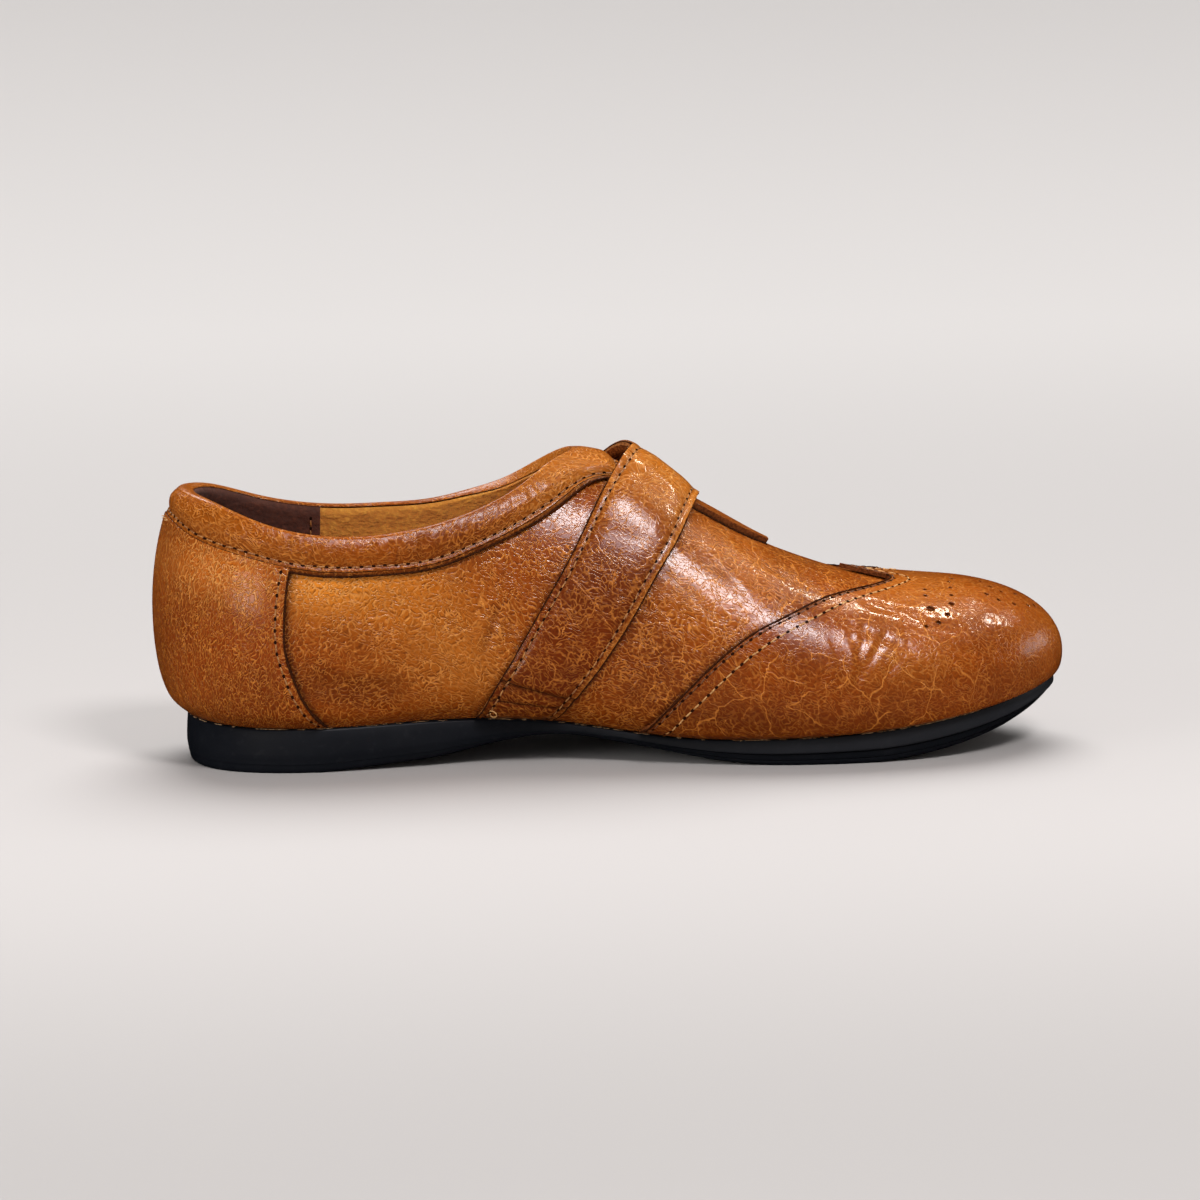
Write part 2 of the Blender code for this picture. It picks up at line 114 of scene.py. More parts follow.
# Lower edge of the collar band
BAND = table(
    "x z_in z_out",
    [
        (1.5, 68.3, 68.3), (9.6, 64.0, 64.0), (21, 60.4, 60.4), (35, 57.0, 57.0), (47, 55.3, 55.3),
        (59, 55.3, 55.1), (77, 57.0, 55.8), (88, 60.7, 58.5), (98, 64.7, 61.2), (107, 69.1, 64.8),
        (115, 73.9, 69.2), (120, 76.7, 71.8), (125, 78.0, 73.4), (132, 77.4, 73.4),
    ],
)
BAND_FRONT_X = 132.0
BAND_TURN_X = 96.0
# Front edge of the heel counter, by the share of its height
COUNTER = table(
    "share x",
    [(0, 45.5), (0.31, 38.8), (0.47, 36.3), (0.58, 34.8), (0.70, 34.6), (0.83, 35.0), (1, 36.4)],
)
# Rear and front edge of the strap, and how it stands off the instep
STRAP = table(
    "t rear front",
    [
        (0.0, 87.5, 108.7), (0.13, 91.0, 114.0), (0.21, 94.8, 118.5), (0.31, 101.5, 125.8),
        (0.40, 107.4, 131.6), (0.50, 113.3, 136.8), (0.63, 119.6, 142.9), (0.80, 126.6, 148.2),
        (1.0, 133.0, 152.6),
    ],
)
STRAP_SIDE_LIFT = 1.8
STRAP_RISE_T = {INNER_SIDE: (0.56, 0.76), OUTER_SIDE: (0.40, 0.60)}
STRAP_REAR_LIFT, STRAP_FRONT_LIFT = 6.2, 2.3
# Edge of the wing tip
WING = table(
    "t x",
    [
        (0.0, 132.5), (0.16, 140.0), (0.27, 148.6), (0.35, 155.8), (0.44, 164.2), (0.53, 173.5),
        (0.64, 183.8), (0.74, 194.3), (0.83, 203.6), (0.89, 207.8), (0.95, 205.6), (1.0, 195.0),
    ],
)
# Half width of the tongue tab, in t from the ridge, and its rise
TAB = table(
    "x half_t lift",
    [
        (132.4, 0.1, 0.0), (150, 0.088, 0.1), (156, 0.086, 0.2), (164, 0.076, 0.2), (169, 0.054, 0.1),
        (173.4, 0.030, 0.0),
    ],
)
# Underside of the sole: its height on either side, its inset at the bottom edge and the side step's depth
SOLE = table(
    "x z_in z_out inset step",
    [
        (8, 0.0, 0.0, 1.2, 0.0), (44, 0.0, 0.0, 1.2, 0.0), (54, 0.7, 0.5, 1.2, 0.0),
        (67, 1.7, 1.1, 1.3, 0.0), (78, 2.8, 1.7, 1.5, 0.0), (88, 4.8, 2.6, 1.6, 0.0),
        (97, 6.6, 3.6, 1.6, 0.0), (107, 7.8, 4.3, 1.5, 0.0), (116, 7.7, 4.2, 1.5, 0.0),
        (124, 6.5, 3.4, 1.4, 0.1), (136, 4.4, 2.1, 1.4, 0.4), (148, 2.2, 1.0, 1.4, 0.6),
        (160, 0.6, 0.3, 1.5, 0.7), (170, 0.0, 0.0, 1.5, 0.7), (200, 0.0, 0.0, 1.6, 0.7),
        (214, 1.6, 1.6, 1.9, 0.7), (228, 4.2, 4.2, 2.6, 0.7), (240, 7.4, 7.4, 3.2, 0.7),
        (250, 11.1, 11.1, 3.6, 0.7), (259, 14.6, 14.6, 3.8, 0.7),
    ],
)
FLAT_HEEL, FLAT_FOREFOOT = (8.0, 44.0), (170.0, 200.0)
SOLE_MARGIN, SOLE_BULGE = 0.7, 0.3
STEP_SHARE = 0.52
INSOLE_INSET, INSOLE_THICKNESS = 3.2, 2.4


def spline(knots, values, at, period=None):
    """Smooth cubic through the knots, with free ends, or closed on itself after one period."""
    at = np.asarray(at, float)
    if period is not None:
        knots = np.append(knots, knots[0] + period)
        values = np.append(values, values[0])
    count = len(knots)
    width = np.diff(knots)
    chord = np.diff(values) / width
    matrix = np.zeros((count, count))
    right = np.zeros(count)
    for i in range(1, count - 1):
        matrix[i, i - 1 : i + 2] = 1 / width[i - 1], 2 / width[i - 1] + 2 / width[i], 1 / width[i]
        right[i] = 3 * (chord[i - 1] / width[i - 1] + chord[i] / width[i])
    if period is None:
        matrix[0, :2] = 2, 1
        matrix[-1, -2:] = 1, 2
        right[[0, -1]] = 3 * chord[0], 3 * chord[-1]
    else:
        matrix[0, [0, -1]] = 1, -1
        matrix[-1, [0, 1, -2, -1]] = 2 / width[0], 1 / width[0], 1 / width[-1], 2 / width[-1]
        right[-1] = 3 * (chord[0] / width[0] + chord[-1] / width[-1])
    slope = np.linalg.solve(matrix, right)
    i = np.clip(np.searchsorted(knots, at, side="right") - 1, 0, count - 2)
    s = (at - knots[i]) / width[i]
    ends = values[i] * (1 + 2 * s) * (1 - s) ** 2 + values[i + 1] * s * s * (3 - 2 * s)
    return ends + width[i] * s * (1 - s) * (slope[i] * (1 - s) - slope[i + 1] * s)


def unit(vectors):
    return vectors / np.linalg.norm(vectors, axis=-1, keepdims=True)


def smooth_step(value, low, high):
    s = np.clip((value - low) / (high - low), 0, 1)
    return s * s * (3 - 2 * s)


def bump(distance, width):
    """Bell of height 1."""
    return np.exp(-((distance / width) ** 2))


def section_positions():
    """u of every row of LAST, by the mean length of the girth line on the two sides."""
    along = np.diff(LAST["girth_x"])
    inner = np.hypot(along, np.diff(LAST["girth_in"]))
    outer = np.hypot(along, np.diff(LAST["girth_out"]))
    length = np.concatenate([[0], np.cumsum(inner + outer)])
    return length / length[-1]


SECTION_U = section_positions()


def outline(which, u, side):
    """Point of the feather or girth line, a closed curve round both sides."""
    loop_u = np.concatenate([SECTION_U, 2 - SECTION_U[-2:0:-1]])
    along = u if side == INNER_SIDE else 2 - u

    def closed(inner, outer):
        return spline(loop_u, np.concatenate([inner, outer[-2:0:-1]]), np.mod(along, 2), 2)

    x = closed(LAST[which + "_x"], LAST[which + "_x"])
    y = closed(-LAST[which + "_in"], LAST[which + "_out"])
    z = closed(LAST[which + "_z"], LAST[which + "_z"])
    return np.stack([x, y, z], -1)


def ridge_point(x):
    return np.stack([x, spline(RIDGE["x"], RIDGE["y"], x), spline(RIDGE["x"], RIDGE["z"], x)], -1)


def bezier(points, s):
    a, b, c, d = points
    s = s[..., None]
    return a * (1 - s) ** 3 + 3 * b * s * (1 - s) ** 2 + 3 * c * s * s * (1 - s) + d * s**3


def last_point(u, t, side):
    """The last: ribs from the feather line out to the girth line, then over to the ridge."""
    u, t = np.broadcast_arrays(np.asarray(u, float), np.asarray(t, float))
    flat = np.array([1.0, 1.0, 0.0])
    up = np.array([0.0, 0.0, 1.0])
    foot = outline("feather", u, side)
    girth = outline("girth", u, side)
    top_x = HEEL_POLE + POLE_BLEND * np.logaddexp(0, (girth[..., 0] - HEEL_POLE) / POLE_BLEND)
    top_x = TOE_POLE - POLE_BLEND * np.logaddexp(0, (TOE_POLE - top_x) / POLE_BLEND)
    top = ridge_point(top_x)
    slope = (ridge_point(top_x + 0.5) - ridge_point(top_x - 0.5))[..., 2]
    out = girth - foot
    lower = (foot, foot + out * (flat * LOWER_OUT + up * LOWER_UP), girth - out * up * LOWER_LIFT, girth)
    spread = (girth - top) * flat
    tangent = spread + up * (slope * spread[..., 0])[..., None]
    upper = (girth, girth + (top - girth) * up * UPPER_ROUND, top + tangent * UPPER_ROUND, top)
    below = bezier(lower, np.clip(t / GIRTH_T, 0, 1))
    above = bezier(upper, np.clip((t - GIRTH_T) / (1 - GIRTH_T), 0, 1))
    return np.where((t < GIRTH_T)[..., None], below, above)


STEP = 1e-4  # of u or t, for slopes
TOE_RIBS_U, BELOW_POLE_T = 0.85, 0.998


def last_normal(u, t, side):
    """Outward normal of the last, taken just below the pole where the ribs of the toe run together."""
    t = np.where(u > TOE_RIBS_U, np.minimum(t, BELOW_POLE_T), t)
    along = last_point(u + STEP, t, side) - last_point(u - STEP, t, side)
    upward = last_point(u, np.minimum(t + STEP, 1), side) - last_point(u, np.maximum(t - STEP, 0), side)
    return unit(np.cross(upward, along) * side)


def lifted(u, t, side, lift):
    """Point at a height above the last, or below it where the lift is negative."""
    u, t = np.broadcast_arrays(np.asarray(u, float), np.asarray(t, float))
    return last_point(u, t, side) + last_normal(u, t, side) * np.asarray(lift, float)[..., None]


GIRTH_LINE_U = np.linspace(0, 1, 4001)
GIRTH_LINE_X = outline("girth", GIRTH_LINE_U, INNER_SIDE)[:, 0]


def station(x):
    """u of the rib whose girth point lies at x."""
    return np.interp(x, GIRTH_LINE_X, GIRTH_LINE_U)


def station_x(u):
    """Girth x of the rib at u."""
    return np.interp(u, GIRTH_LINE_U, GIRTH_LINE_X)


HALVINGS = 40


def t_at_height(u, z, side):
    """t above the girth line at which a rib reaches a height, 1 where the ridge is lower than that."""
    low = np.full(np.shape(u), GIRTH_T)
    high = np.ones(np.shape(u))
    for _ in range(HALVINGS):
        middle = (low + high) / 2
        below = last_point(u, middle, side)[..., 2] < z
        low = np.where(below, middle, low)
        high = np.where(below, high, middle)
    return high


def side_column(name, side):
    return name + ("_in" if side == INNER_SIDE else "_out")


def collar_t(u, side):
    """t of the edge of the opening, 1 in front of the throat."""
    x = outline("girth", u, side)[..., 0]
    height = spline(COLLAR["x"], COLLAR[side_column("z", side)], np.minimum(x, THROAT_X))
    return np.where(x > THROAT_X - 0.01, 1.0, t_at_height(u, height, side))


def band_t(u, side):
    """t of the lower edge of the collar band."""
    x = outline("girth", u, side)[..., 0]
    return t_at_height(u, spline(BAND["x"], BAND[side_column("z", side)], x), side)


def spread_stations(*stretches):
    """u values over stretches of the shoe, each given as first x, last x and number of steps."""
    parts = [np.linspace(station(first), station(last), steps + 1)[:-1] for first, last, steps in stretches]
    return np.concatenate(parts + [[station(stretches[-1][1])]])


RIB_U, RIB_T = np.linspace(0, 1, 401), np.linspace(0, 1, 161)


def rib_lengths(side):
    """Length of every rib from the ridge down to t."""
    steps = np.linalg.norm(np.diff(last_point(RIB_U[:, None], RIB_T, side), axis=1), axis=-1)
    down = np.cumsum(steps[:, ::-1], axis=1)[:, ::-1]
    return np.concatenate([down, np.zeros((len(RIB_U), 1))], axis=1)


RIB_LENGTH = {side: rib_lengths(side) for side in SIDES}


def skin(u, t, side):
    """Place on the leather laid out flat, along its rib from the ridge."""
    u, t = np.broadcast_arrays(np.asarray(u, float), np.asarray(t, float))
    across, along = u * (len(RIB_U) - 1), t * (len(RIB_T) - 1)
    i = np.clip(across.astype(int), 0, len(RIB_U) - 2)
    j = np.clip(along.astype(int), 0, len(RIB_T) - 2)
    a, b = across - i, along - j
    lengths = RIB_LENGTH[side]
    near = lengths[i, j] * (1 - a) + lengths[i + 1, j] * a
    far = lengths[i, j + 1] * (1 - a) + lengths[i + 1, j + 1] * a
    top = last_point(u, 1.0, side)
    way = unit((last_point(u, GIRTH_T, side) - top)[..., :2])
    place = way * (near * (1 - b) + far * b)[..., None]
    return np.stack([top[..., 0] + place[..., 0], place[..., 1], np.zeros(u.shape)], -1)


def to_frame(points):
    return (points - ORIGIN) * MM


# Creases on the inner side: a line through three spots, each x and t, with its width and depth.
# A negative depth is a ridge. The outer side has the same ones, moved a little and softer.
CREASES = {
    "upper": [
        (94.5, 0.38, 91.5, 0.31, 88.0, 0.24, 1.2, 0.38),  # slanting fold behind the strap
        (38, 0.20, 52, 0.15, 70, 0.16, 5.0, 0.55),  # hollow above the heel's front
        (40, 0.31, 55, 0.27, 74, 0.28, 6.0, -0.45),  # swell above it
        (150, 0.70, 158, 0.66, 166, 0.55, 1.6, -0.22),  # ridge that shines on the vamp
        (134, 0.55, 146, 0.50, 156, 0.41, 1.2, 0.08),  # faint folds in front of the strap
        (137, 0.70, 146, 0.66, 156, 0.58, 1.2, 0.08),
        (128, 0.36, 136, 0.30, 142, 0.22, 1.2, 0.10),
        (121, 0.25, 130, 0.20, 137, 0.12, 1.0, 0.10),
        (160, 0.86, 169, 0.75, 182, 0.70, 1.6, 0.14),
        (146, 0.29, 160, 0.44, 181, 0.67, 1.1, 0.09),  # pulls along the wing
        (144, 0.30, 157, 0.43, 178, 0.67, 1.1, 0.09),
        (141, 0.30, 155, 0.44, 175, 0.68, 1.2, 0.08),
    ],
    "toe_cap": [
        (196, 0.60, 193, 0.42, 190, 0.20, 1.2, 0.30),  # bundle of cracks at the joint
        (203, 0.56, 195, 0.38, 183, 0.14, 1.1, 0.26),
        (190, 0.58, 192, 0.40, 196, 0.18, 1.0, 0.22),
        (184, 0.50, 187, 0.34, 186, 0.12, 1.1, 0.22),
        (205, 0.42, 199, 0.30, 193, 0.10, 1.0, 0.24),
        (186, 0.56, 198, 0.50, 212, 0.40, 1.4, 0.22),
        (194, 0.68, 203, 0.64, 215, 0.60, 1.8, 0.30),
        (206, 0.62, 215, 0.55, 226, 0.52, 1.6, 0.22),
        (218, 0.46, 224, 0.40, 232, 0.40, 1.4, 0.16),
        (175, 0.42, 178, 0.28, 176, 0.10, 1.2, 0.16),
        (166, 0.36, 169, 0.24, 170, 0.10, 1.2, 0.14),
    ],
    "heel_counter": [
        (3, 0.455, 14, 0.425, 27, 0.42, 1.1, 0.22),  # folds under the collar band
        (3, 0.435, 13, 0.405, 24, 0.395, 0.9, 0.16),
        (4, 0.41, 12, 0.385, 22, 0.375, 0.9, 0.12),
    ],
    "strap": [
        (124, 0.86, 136, 0.87, 148, 0.83, 1.7, -0.25),  # bend of the strap over the instep
        (118, 0.62, 128, 0.60, 139, 0.61, 1.6, 0.05),
    ],
}
OUTER_CREASE_SHIFT, OUTER_CREASE_DEPTH = 5.0, 0.8
# Painted shade in the hollows of the creases: its weight, and the depth at which it stops growing
CREASE_SHADE, CREASE_SHADE_DEPTH = 0.95, 0.4

# Darker and lighter places of the leather: middle in x and t, reach in x and t, how much darker, how much
# lighter. The lighter spots on swells and tops are painted highlights; some darker spots are painted shade.
TINTS = {
    "upper": [
        # painted shade in the hollow above the heel's front
        (52, 0.17, 16, 0.05, 0.10, 0.0),  # dark streak above the heel's front
        # painted highlight on the swell under the collar
        (48, 0.40, 21, 0.075, 0.0, 1.0),  # light swell under the collar
        (76, 0.30, 18, 0.14, 0.0, 0.27),
        (88, 0.20, 14, 0.10, 0.0, 0.20),
        (128, 0.20, 16, 0.14, 0.26, 0.0),
        # painted highlights on the vamp
        (160, 0.72, 18, 0.14, 0.0, 0.22),
        (150, 0.50, 14, 0.10, 0.0, 0.25),
    ],
    "toe_cap": [
        (150, 0.14, 24, 0.09, 0.45, 0.0),
        (185, 0.12, 30, 0.10, 0.30, 0.0),
        (205, 0.40, 16, 0.12, 0.0, 0.42),
        # painted highlights on the cap's top and at its front
        (215, 0.80, 30, 0.22, 0.0, 0.55),
        (252, 0.40, 14, 0.20, 0.0, 0.30),
    ],
    "heel_counter": [
        # painted highlight on the counter's upper part
        (18, 0.40, 16, 0.07, 0.0, 0.85),
        (2, 0.28, 9, 0.30, 0.10, 0.0),
    ],
    "collar_band": [
        # painted highlight at the band's front
        (112, 0.80, 14, 0.30, 0.0, 0.55),
        (20, 0.55, 30, 0.20, 0.0, 0.20),
    ],
    "strap": [
        # painted highlight on the strap's upper part; below it, darker towards the foot
        (140, 0.95, 60, 0.26, 0.0, 0.95),
        (106, 0.20, 60, 0.06, 0.25, 0.0),
        (98, 0.06, 60, 0.05, 0.35, 0.0),
    ],
}


def tints(piece, x, t):
    """How much darker (burnish and painted shade) and how much lighter (painted highlights and lighter
    leather) a piece is at its points.
    """
    burnish_and_shade, fade = np.zeros(np.shape(t)), np.zeros(np.shape(t))
    for middle_x, middle_t, reach_x, reach_t, darkened, lightened in TINTS[piece]:
        spot = bump(np.hypot((x - middle_x) / reach_x, (t - middle_t) / reach_t), 1)
        burnish_and_shade = burnish_and_shade + darkened * spot
        fade = fade + lightened * spot
    return np.clip(burnish_and_shade, 0, 1), np.clip(fade, 0, 1)


def marks(place, burnish_and_shade, fade, vein, lump):
    """Values at the points of a piece that its leather reads."""
    return {"skin": place, "burnish_and_shade": np.clip(burnish_and_shade, 0, 1), "fade": fade, "vein": vein, "lump": lump}


def laid(u, t, side, lift, burnish_and_shade, fade, vein, lump):
    """Points and marks of a piece at a height over the last."""
    return lifted(u, t, side, lift), marks(skin(u, t, side), burnish_and_shade, fade, vein, lump)


def line_on_shoe(x, t, side, lift=0.0):
    return lifted(station(x), t, side, np.full(np.shape(x), lift))


def distance_to_line(points, line):
    """Distance from every point to a broken line, and the place along it, 0 to 1, of the nearest spot."""
    best = np.full(len(points), np.inf)
    place = np.zeros(len(points))
    for i, (start, end) in enumerate(zip(line[:-1], line[1:])):
        step = end - start
        s = np.clip((points - start) @ step / max(step @ step, 1e-12), 0, 1)
        gap = np.linalg.norm(points - start - s[:, None] * step, axis=1)
        place = np.where(gap < best, (i + s) / (len(line) - 1), place)
        best = np.minimum(gap, best)
    return best, place


TROUGH_FADE, TROUGH_RIDGE, TROUGH_RIDGE_AT = 0.25, 0.45, 1.9


def trough(points, line, width, depth):
    """Soft trough along a line, with a low ridge on either side, fading at its ends."""
    gap, place = distance_to_line(points, line)
    fade = smooth_step(place, 0, TROUGH_FADE) * smooth_step(1 - place, 0, TROUGH_FADE)
    return fade * depth * (TROUGH_RIDGE * bump(gap - TROUGH_RIDGE_AT * width, width) - bump(gap, width))


def crease_relief(piece, points, side):
    """Lift that the hand-placed creases give to the points of a piece."""
    flat = points.reshape(-1, 3)
    relief = np.zeros(len(flat))
    shift, share = (0, 1) if side == INNER_SIDE else (OUTER_CREASE_SHIFT, OUTER_CREASE_DEPTH)
    knots, s = np.array([0, 0.5, 1]), np.linspace(0, 1, 17)
    for x0, t0, x1, t1, x2, t2, width, depth in CREASES[piece]:
        x = spline(knots, np.array([x0, x1, x2], float), s) + shift
        t = spline(knots, np.array([t0, t1, t2], float), s)
        relief += trough(flat, line_on_shoe(x, t, side), width, depth * share)
    return relief.reshape(points.shape[:-1])


def run_length(line):
    """Length along a line of points up to each of them."""
    return np.concatenate([[0], np.cumsum(np.linalg.norm(np.diff(line, axis=0), axis=1))])


WELD = 0.01


def mesh_from_grids(name, grids):
    """One welded mesh from grids of points; a grid marked True has its faces turned over.

    A grid comes with a dictionary of values at its points, which become attributes of the mesh.
    """
    points, faces, values = [], [], {}
    first = 0
    for grid, turned, values_there in grids:
        rows, columns = grid.shape[:2]
        points.append(to_frame(grid.reshape(-1, 3)))
        corner = first + np.arange(rows - 1)[:, None] * columns + np.arange(columns - 1)
        quad = np.stack([corner, corner + columns, corner + columns + 1, corner + 1], -1).reshape(-1, 4)
        faces.append(quad[:, ::-1] if turned else quad)
        for key, value in values_there.items():
            shape = grid.shape if key == "skin" else grid.shape[:2]
            values.setdefault(key, []).append(np.broadcast_to(value, shape).ravel())
        first += rows * columns
    mesh = bpy.data.meshes.new(name)
    mesh.from_pydata(np.concatenate(points).tolist(), [], np.concatenate(faces).tolist())
    for key, parts in values.items():
        kind, field = ("FLOAT_VECTOR", "vector") if key == "skin" else ("FLOAT", "value")
        layer = mesh.attributes.new(key, kind, "POINT")
        layer.data.foreach_set(field, np.concatenate(parts).astype(np.float32))
    work = bmesh.new()
    work.from_mesh(mesh)
    bmesh.ops.remove_doubles(work, verts=work.verts, dist=WELD * MM)
    work.to_mesh(mesh)
    work.free()
    mesh.shade_smooth()
    return mesh


def add_object(name, data):
    obj = bpy.data.objects.new(name, data)
    bpy.context.scene.collection.objects.link(obj)
    return obj


def add_piece(name, mesh, materials, node=None):
    """Object on the shoe's body, standing for a solid where one is named."""
    obj = add_object(name, mesh)
    for material in materials:
        mesh.materials.append(material)
    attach(obj, "root")
    if node:
        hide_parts(node)
    return obj


EDGE_ROUND, EDGE_ANGLE, SHARP_ANGLE = 0.3, np.radians(50), np.radians(48)


def add_sheet(name, patch, thickness, materials, node=None):
    """Leather piece from its outer surface, a patch on either side: thickened inward, with its edges rounded.

    The materials are those of the outer side, the inner side and the cut edge.
    """
    grids = []
    for side in SIDES:
        points, values = patch(side)
        grids.append((points, side == OUTER_SIDE, values))
    obj = add_piece(name, mesh_from_grids(name, grids), materials, node)
    solidify = obj.modifiers.new("thickness", "SOLIDIFY")
    solidify.thickness = thickness * MM
    solidify.offset = -1
    solidify.material_offset = 1
    solidify.material_offset_rim = 2
    bevel = obj.modifiers.new("edge", "BEVEL")
    bevel.width = EDGE_ROUND * MM
    bevel.segments = 2
    bevel.limit_method = "ANGLE"
    bevel.angle_limit = EDGE_ANGLE
    return obj


def apply_modifiers(obj):
    """The piece's mesh with its modifiers worked in."""
    graph = bpy.context.evaluated_depsgraph_get()
    mesh = bpy.data.meshes.new_from_object(obj.evaluated_get(graph))
    obj.modifiers.clear()
    obj.data = mesh


SOCKETS = {
    "coat_weight": "Coat Weight",
    "coat_roughness": "Coat Roughness",
    "specular": "Specular IOR Level",
    "sheen_weight": "Sheen Weight",
    "sheen_roughness": "Sheen Roughness",
}
GLAZE_RELIEF = 0.55


def with_alpha(colour):
    return (*colour, 1) if isinstance(colour, tuple) else colour


class Shader:
    """Adds nodes to one material; what it is given is linked if it is a socket and set if it is a value."""

    def __init__(self, name):
        self.material = bpy.data.materials.new(name)
        self.material.use_nodes = True
        self.tree = self.material.node_tree
        self.surface = self.tree.nodes["Principled BSDF"]
        place = self.tree.nodes.new("ShaderNodeTexCoord").outputs["Object"]
        self.mm = self.vector("SCALE", place, scale=1 / MM)

    def feed(self, socket, value):
        if isinstance(value, bpy.types.NodeSocket):
            self.tree.links.new(value, socket)
        else:
            socket.default_value = value

    def node(self, kind, inputs, output=0, **settings):
        made = self.tree.nodes.new(kind)
        for key, value in settings.items():
            setattr(made, key, value)
        for key, value in inputs.items():
            self.feed(made.inputs[key], value)
        return made.outputs[output]

    def vector(self, operation, a, b=(0, 0, 0), c=(0, 0, 0), scale=1.0):
        inputs = {0: a, 1: b, 2: c, 3: scale}
        return self.node("ShaderNodeVectorMath", inputs, operation=operation)

    def math(self, operation, a, b=0.0, c=0.0):
        return self.node("ShaderNodeMath", {0: a, 1: b, 2: c}, operation=operation)

    def total(self, *terms):
        """Sum of terms, each a value and its weight."""
        result = 0.0
        for value, weight in terms:
            result = self.math("MULTIPLY_ADD", value, weight, result)
        return result

    def noise(self, place, size, detail=2.0, output="Fac", space="3D"):
        """Noise whose lumps are about that many millimetres across."""
        inputs = {"Vector": place, "Scale": 1 / size, "Detail": detail}
        return self.node("ShaderNodeTexNoise", inputs, output, noise_dimensions=space)

    def worms(self, place, size, width):
        """Winding lines where a flat noise passes its middle, 1 on a line."""
        off = self.math("ABSOLUTE", self.math("SUBTRACT", self.noise(place, size, 0, space="2D"), 0.5))
        return self.between(off, width, width / 3)

    def walls(self, place, size, width):
        """Walls between flat cells, 1 on a wall; the width is in millimetres."""
        inputs = {"Vector": place, "Scale": 1 / size}
        made = self.node(
            "ShaderNodeTexVoronoi", inputs, "Distance", feature="DISTANCE_TO_EDGE", voronoi_dimensions="2D"
        )
        return self.between(made, width / size, width / size / 4)

    def between(self, value, low, high, start=0.0, end=1.0):
        """Start up to low, end from high on, and a smooth way between; low may be the larger."""
        if low > high:
            low, high, start, end = high, low, end, start
        inputs = {"Value": value, "From Min": low, "From Max": high, "To Min": start, "To Max": end}
        return self.node("ShaderNodeMapRange", inputs, interpolation_type="SMOOTHSTEP")

    def mark(self, name, output="Fac"):
        return self.node("ShaderNodeAttribute", {}, output, attribute_name=name)

    def stirred(self, place, size, reach):
        """Places moved about by a noise of that size, by up to about that reach."""
        shift = self.vector("SUBTRACT", self.noise(place, size, 1, "Color", "2D"), (0.5, 0.5, 0.5))
        return self.vector("MULTIPLY_ADD", shift, (4 * reach,) * 3, place)

    def both(self, a, b):
        return self.math("MULTIPLY", a, b)

    def mix(self, share, a, b):
        inputs = {0: share, 6: with_alpha(a), 7: with_alpha(b)}
        return self.node("ShaderNodeMix", inputs, 2, data_type="RGBA")

    def finish(self, colour, roughness, height=None, **constants):
        """Feeds the surface; height is relief in millimetres."""
        self.feed(self.surface.inputs["Base Color"], with_alpha(colour))
        self.feed(self.surface.inputs["Roughness"], roughness)
        if height is not None:
            for socket, strength in (("Normal", 1.0), ("Coat Normal", GLAZE_RELIEF)):
                normal = self.node("ShaderNodeBump", {"Height": height, "Distance": MM, "Strength": strength})
                self.feed(self.surface.inputs[socket], normal)
        for key, value in constants.items():
            self.surface.inputs[SOCKETS[key]].default_value = value
        return self.material


DEEP = (0.072, 0.012, 0.001)
PALE, PALE_LIGHTENED = (0.72, 0.24, 0.032), (0.98, 0.44, 0.11)
# How far the painted shade beside each wrinkle is moved
WRINKLE_SHADE_SHIFT = (0.22, -0.30, 0.0)
WRINKLE_STRETCH = (0.66, 1.15, 1.0)


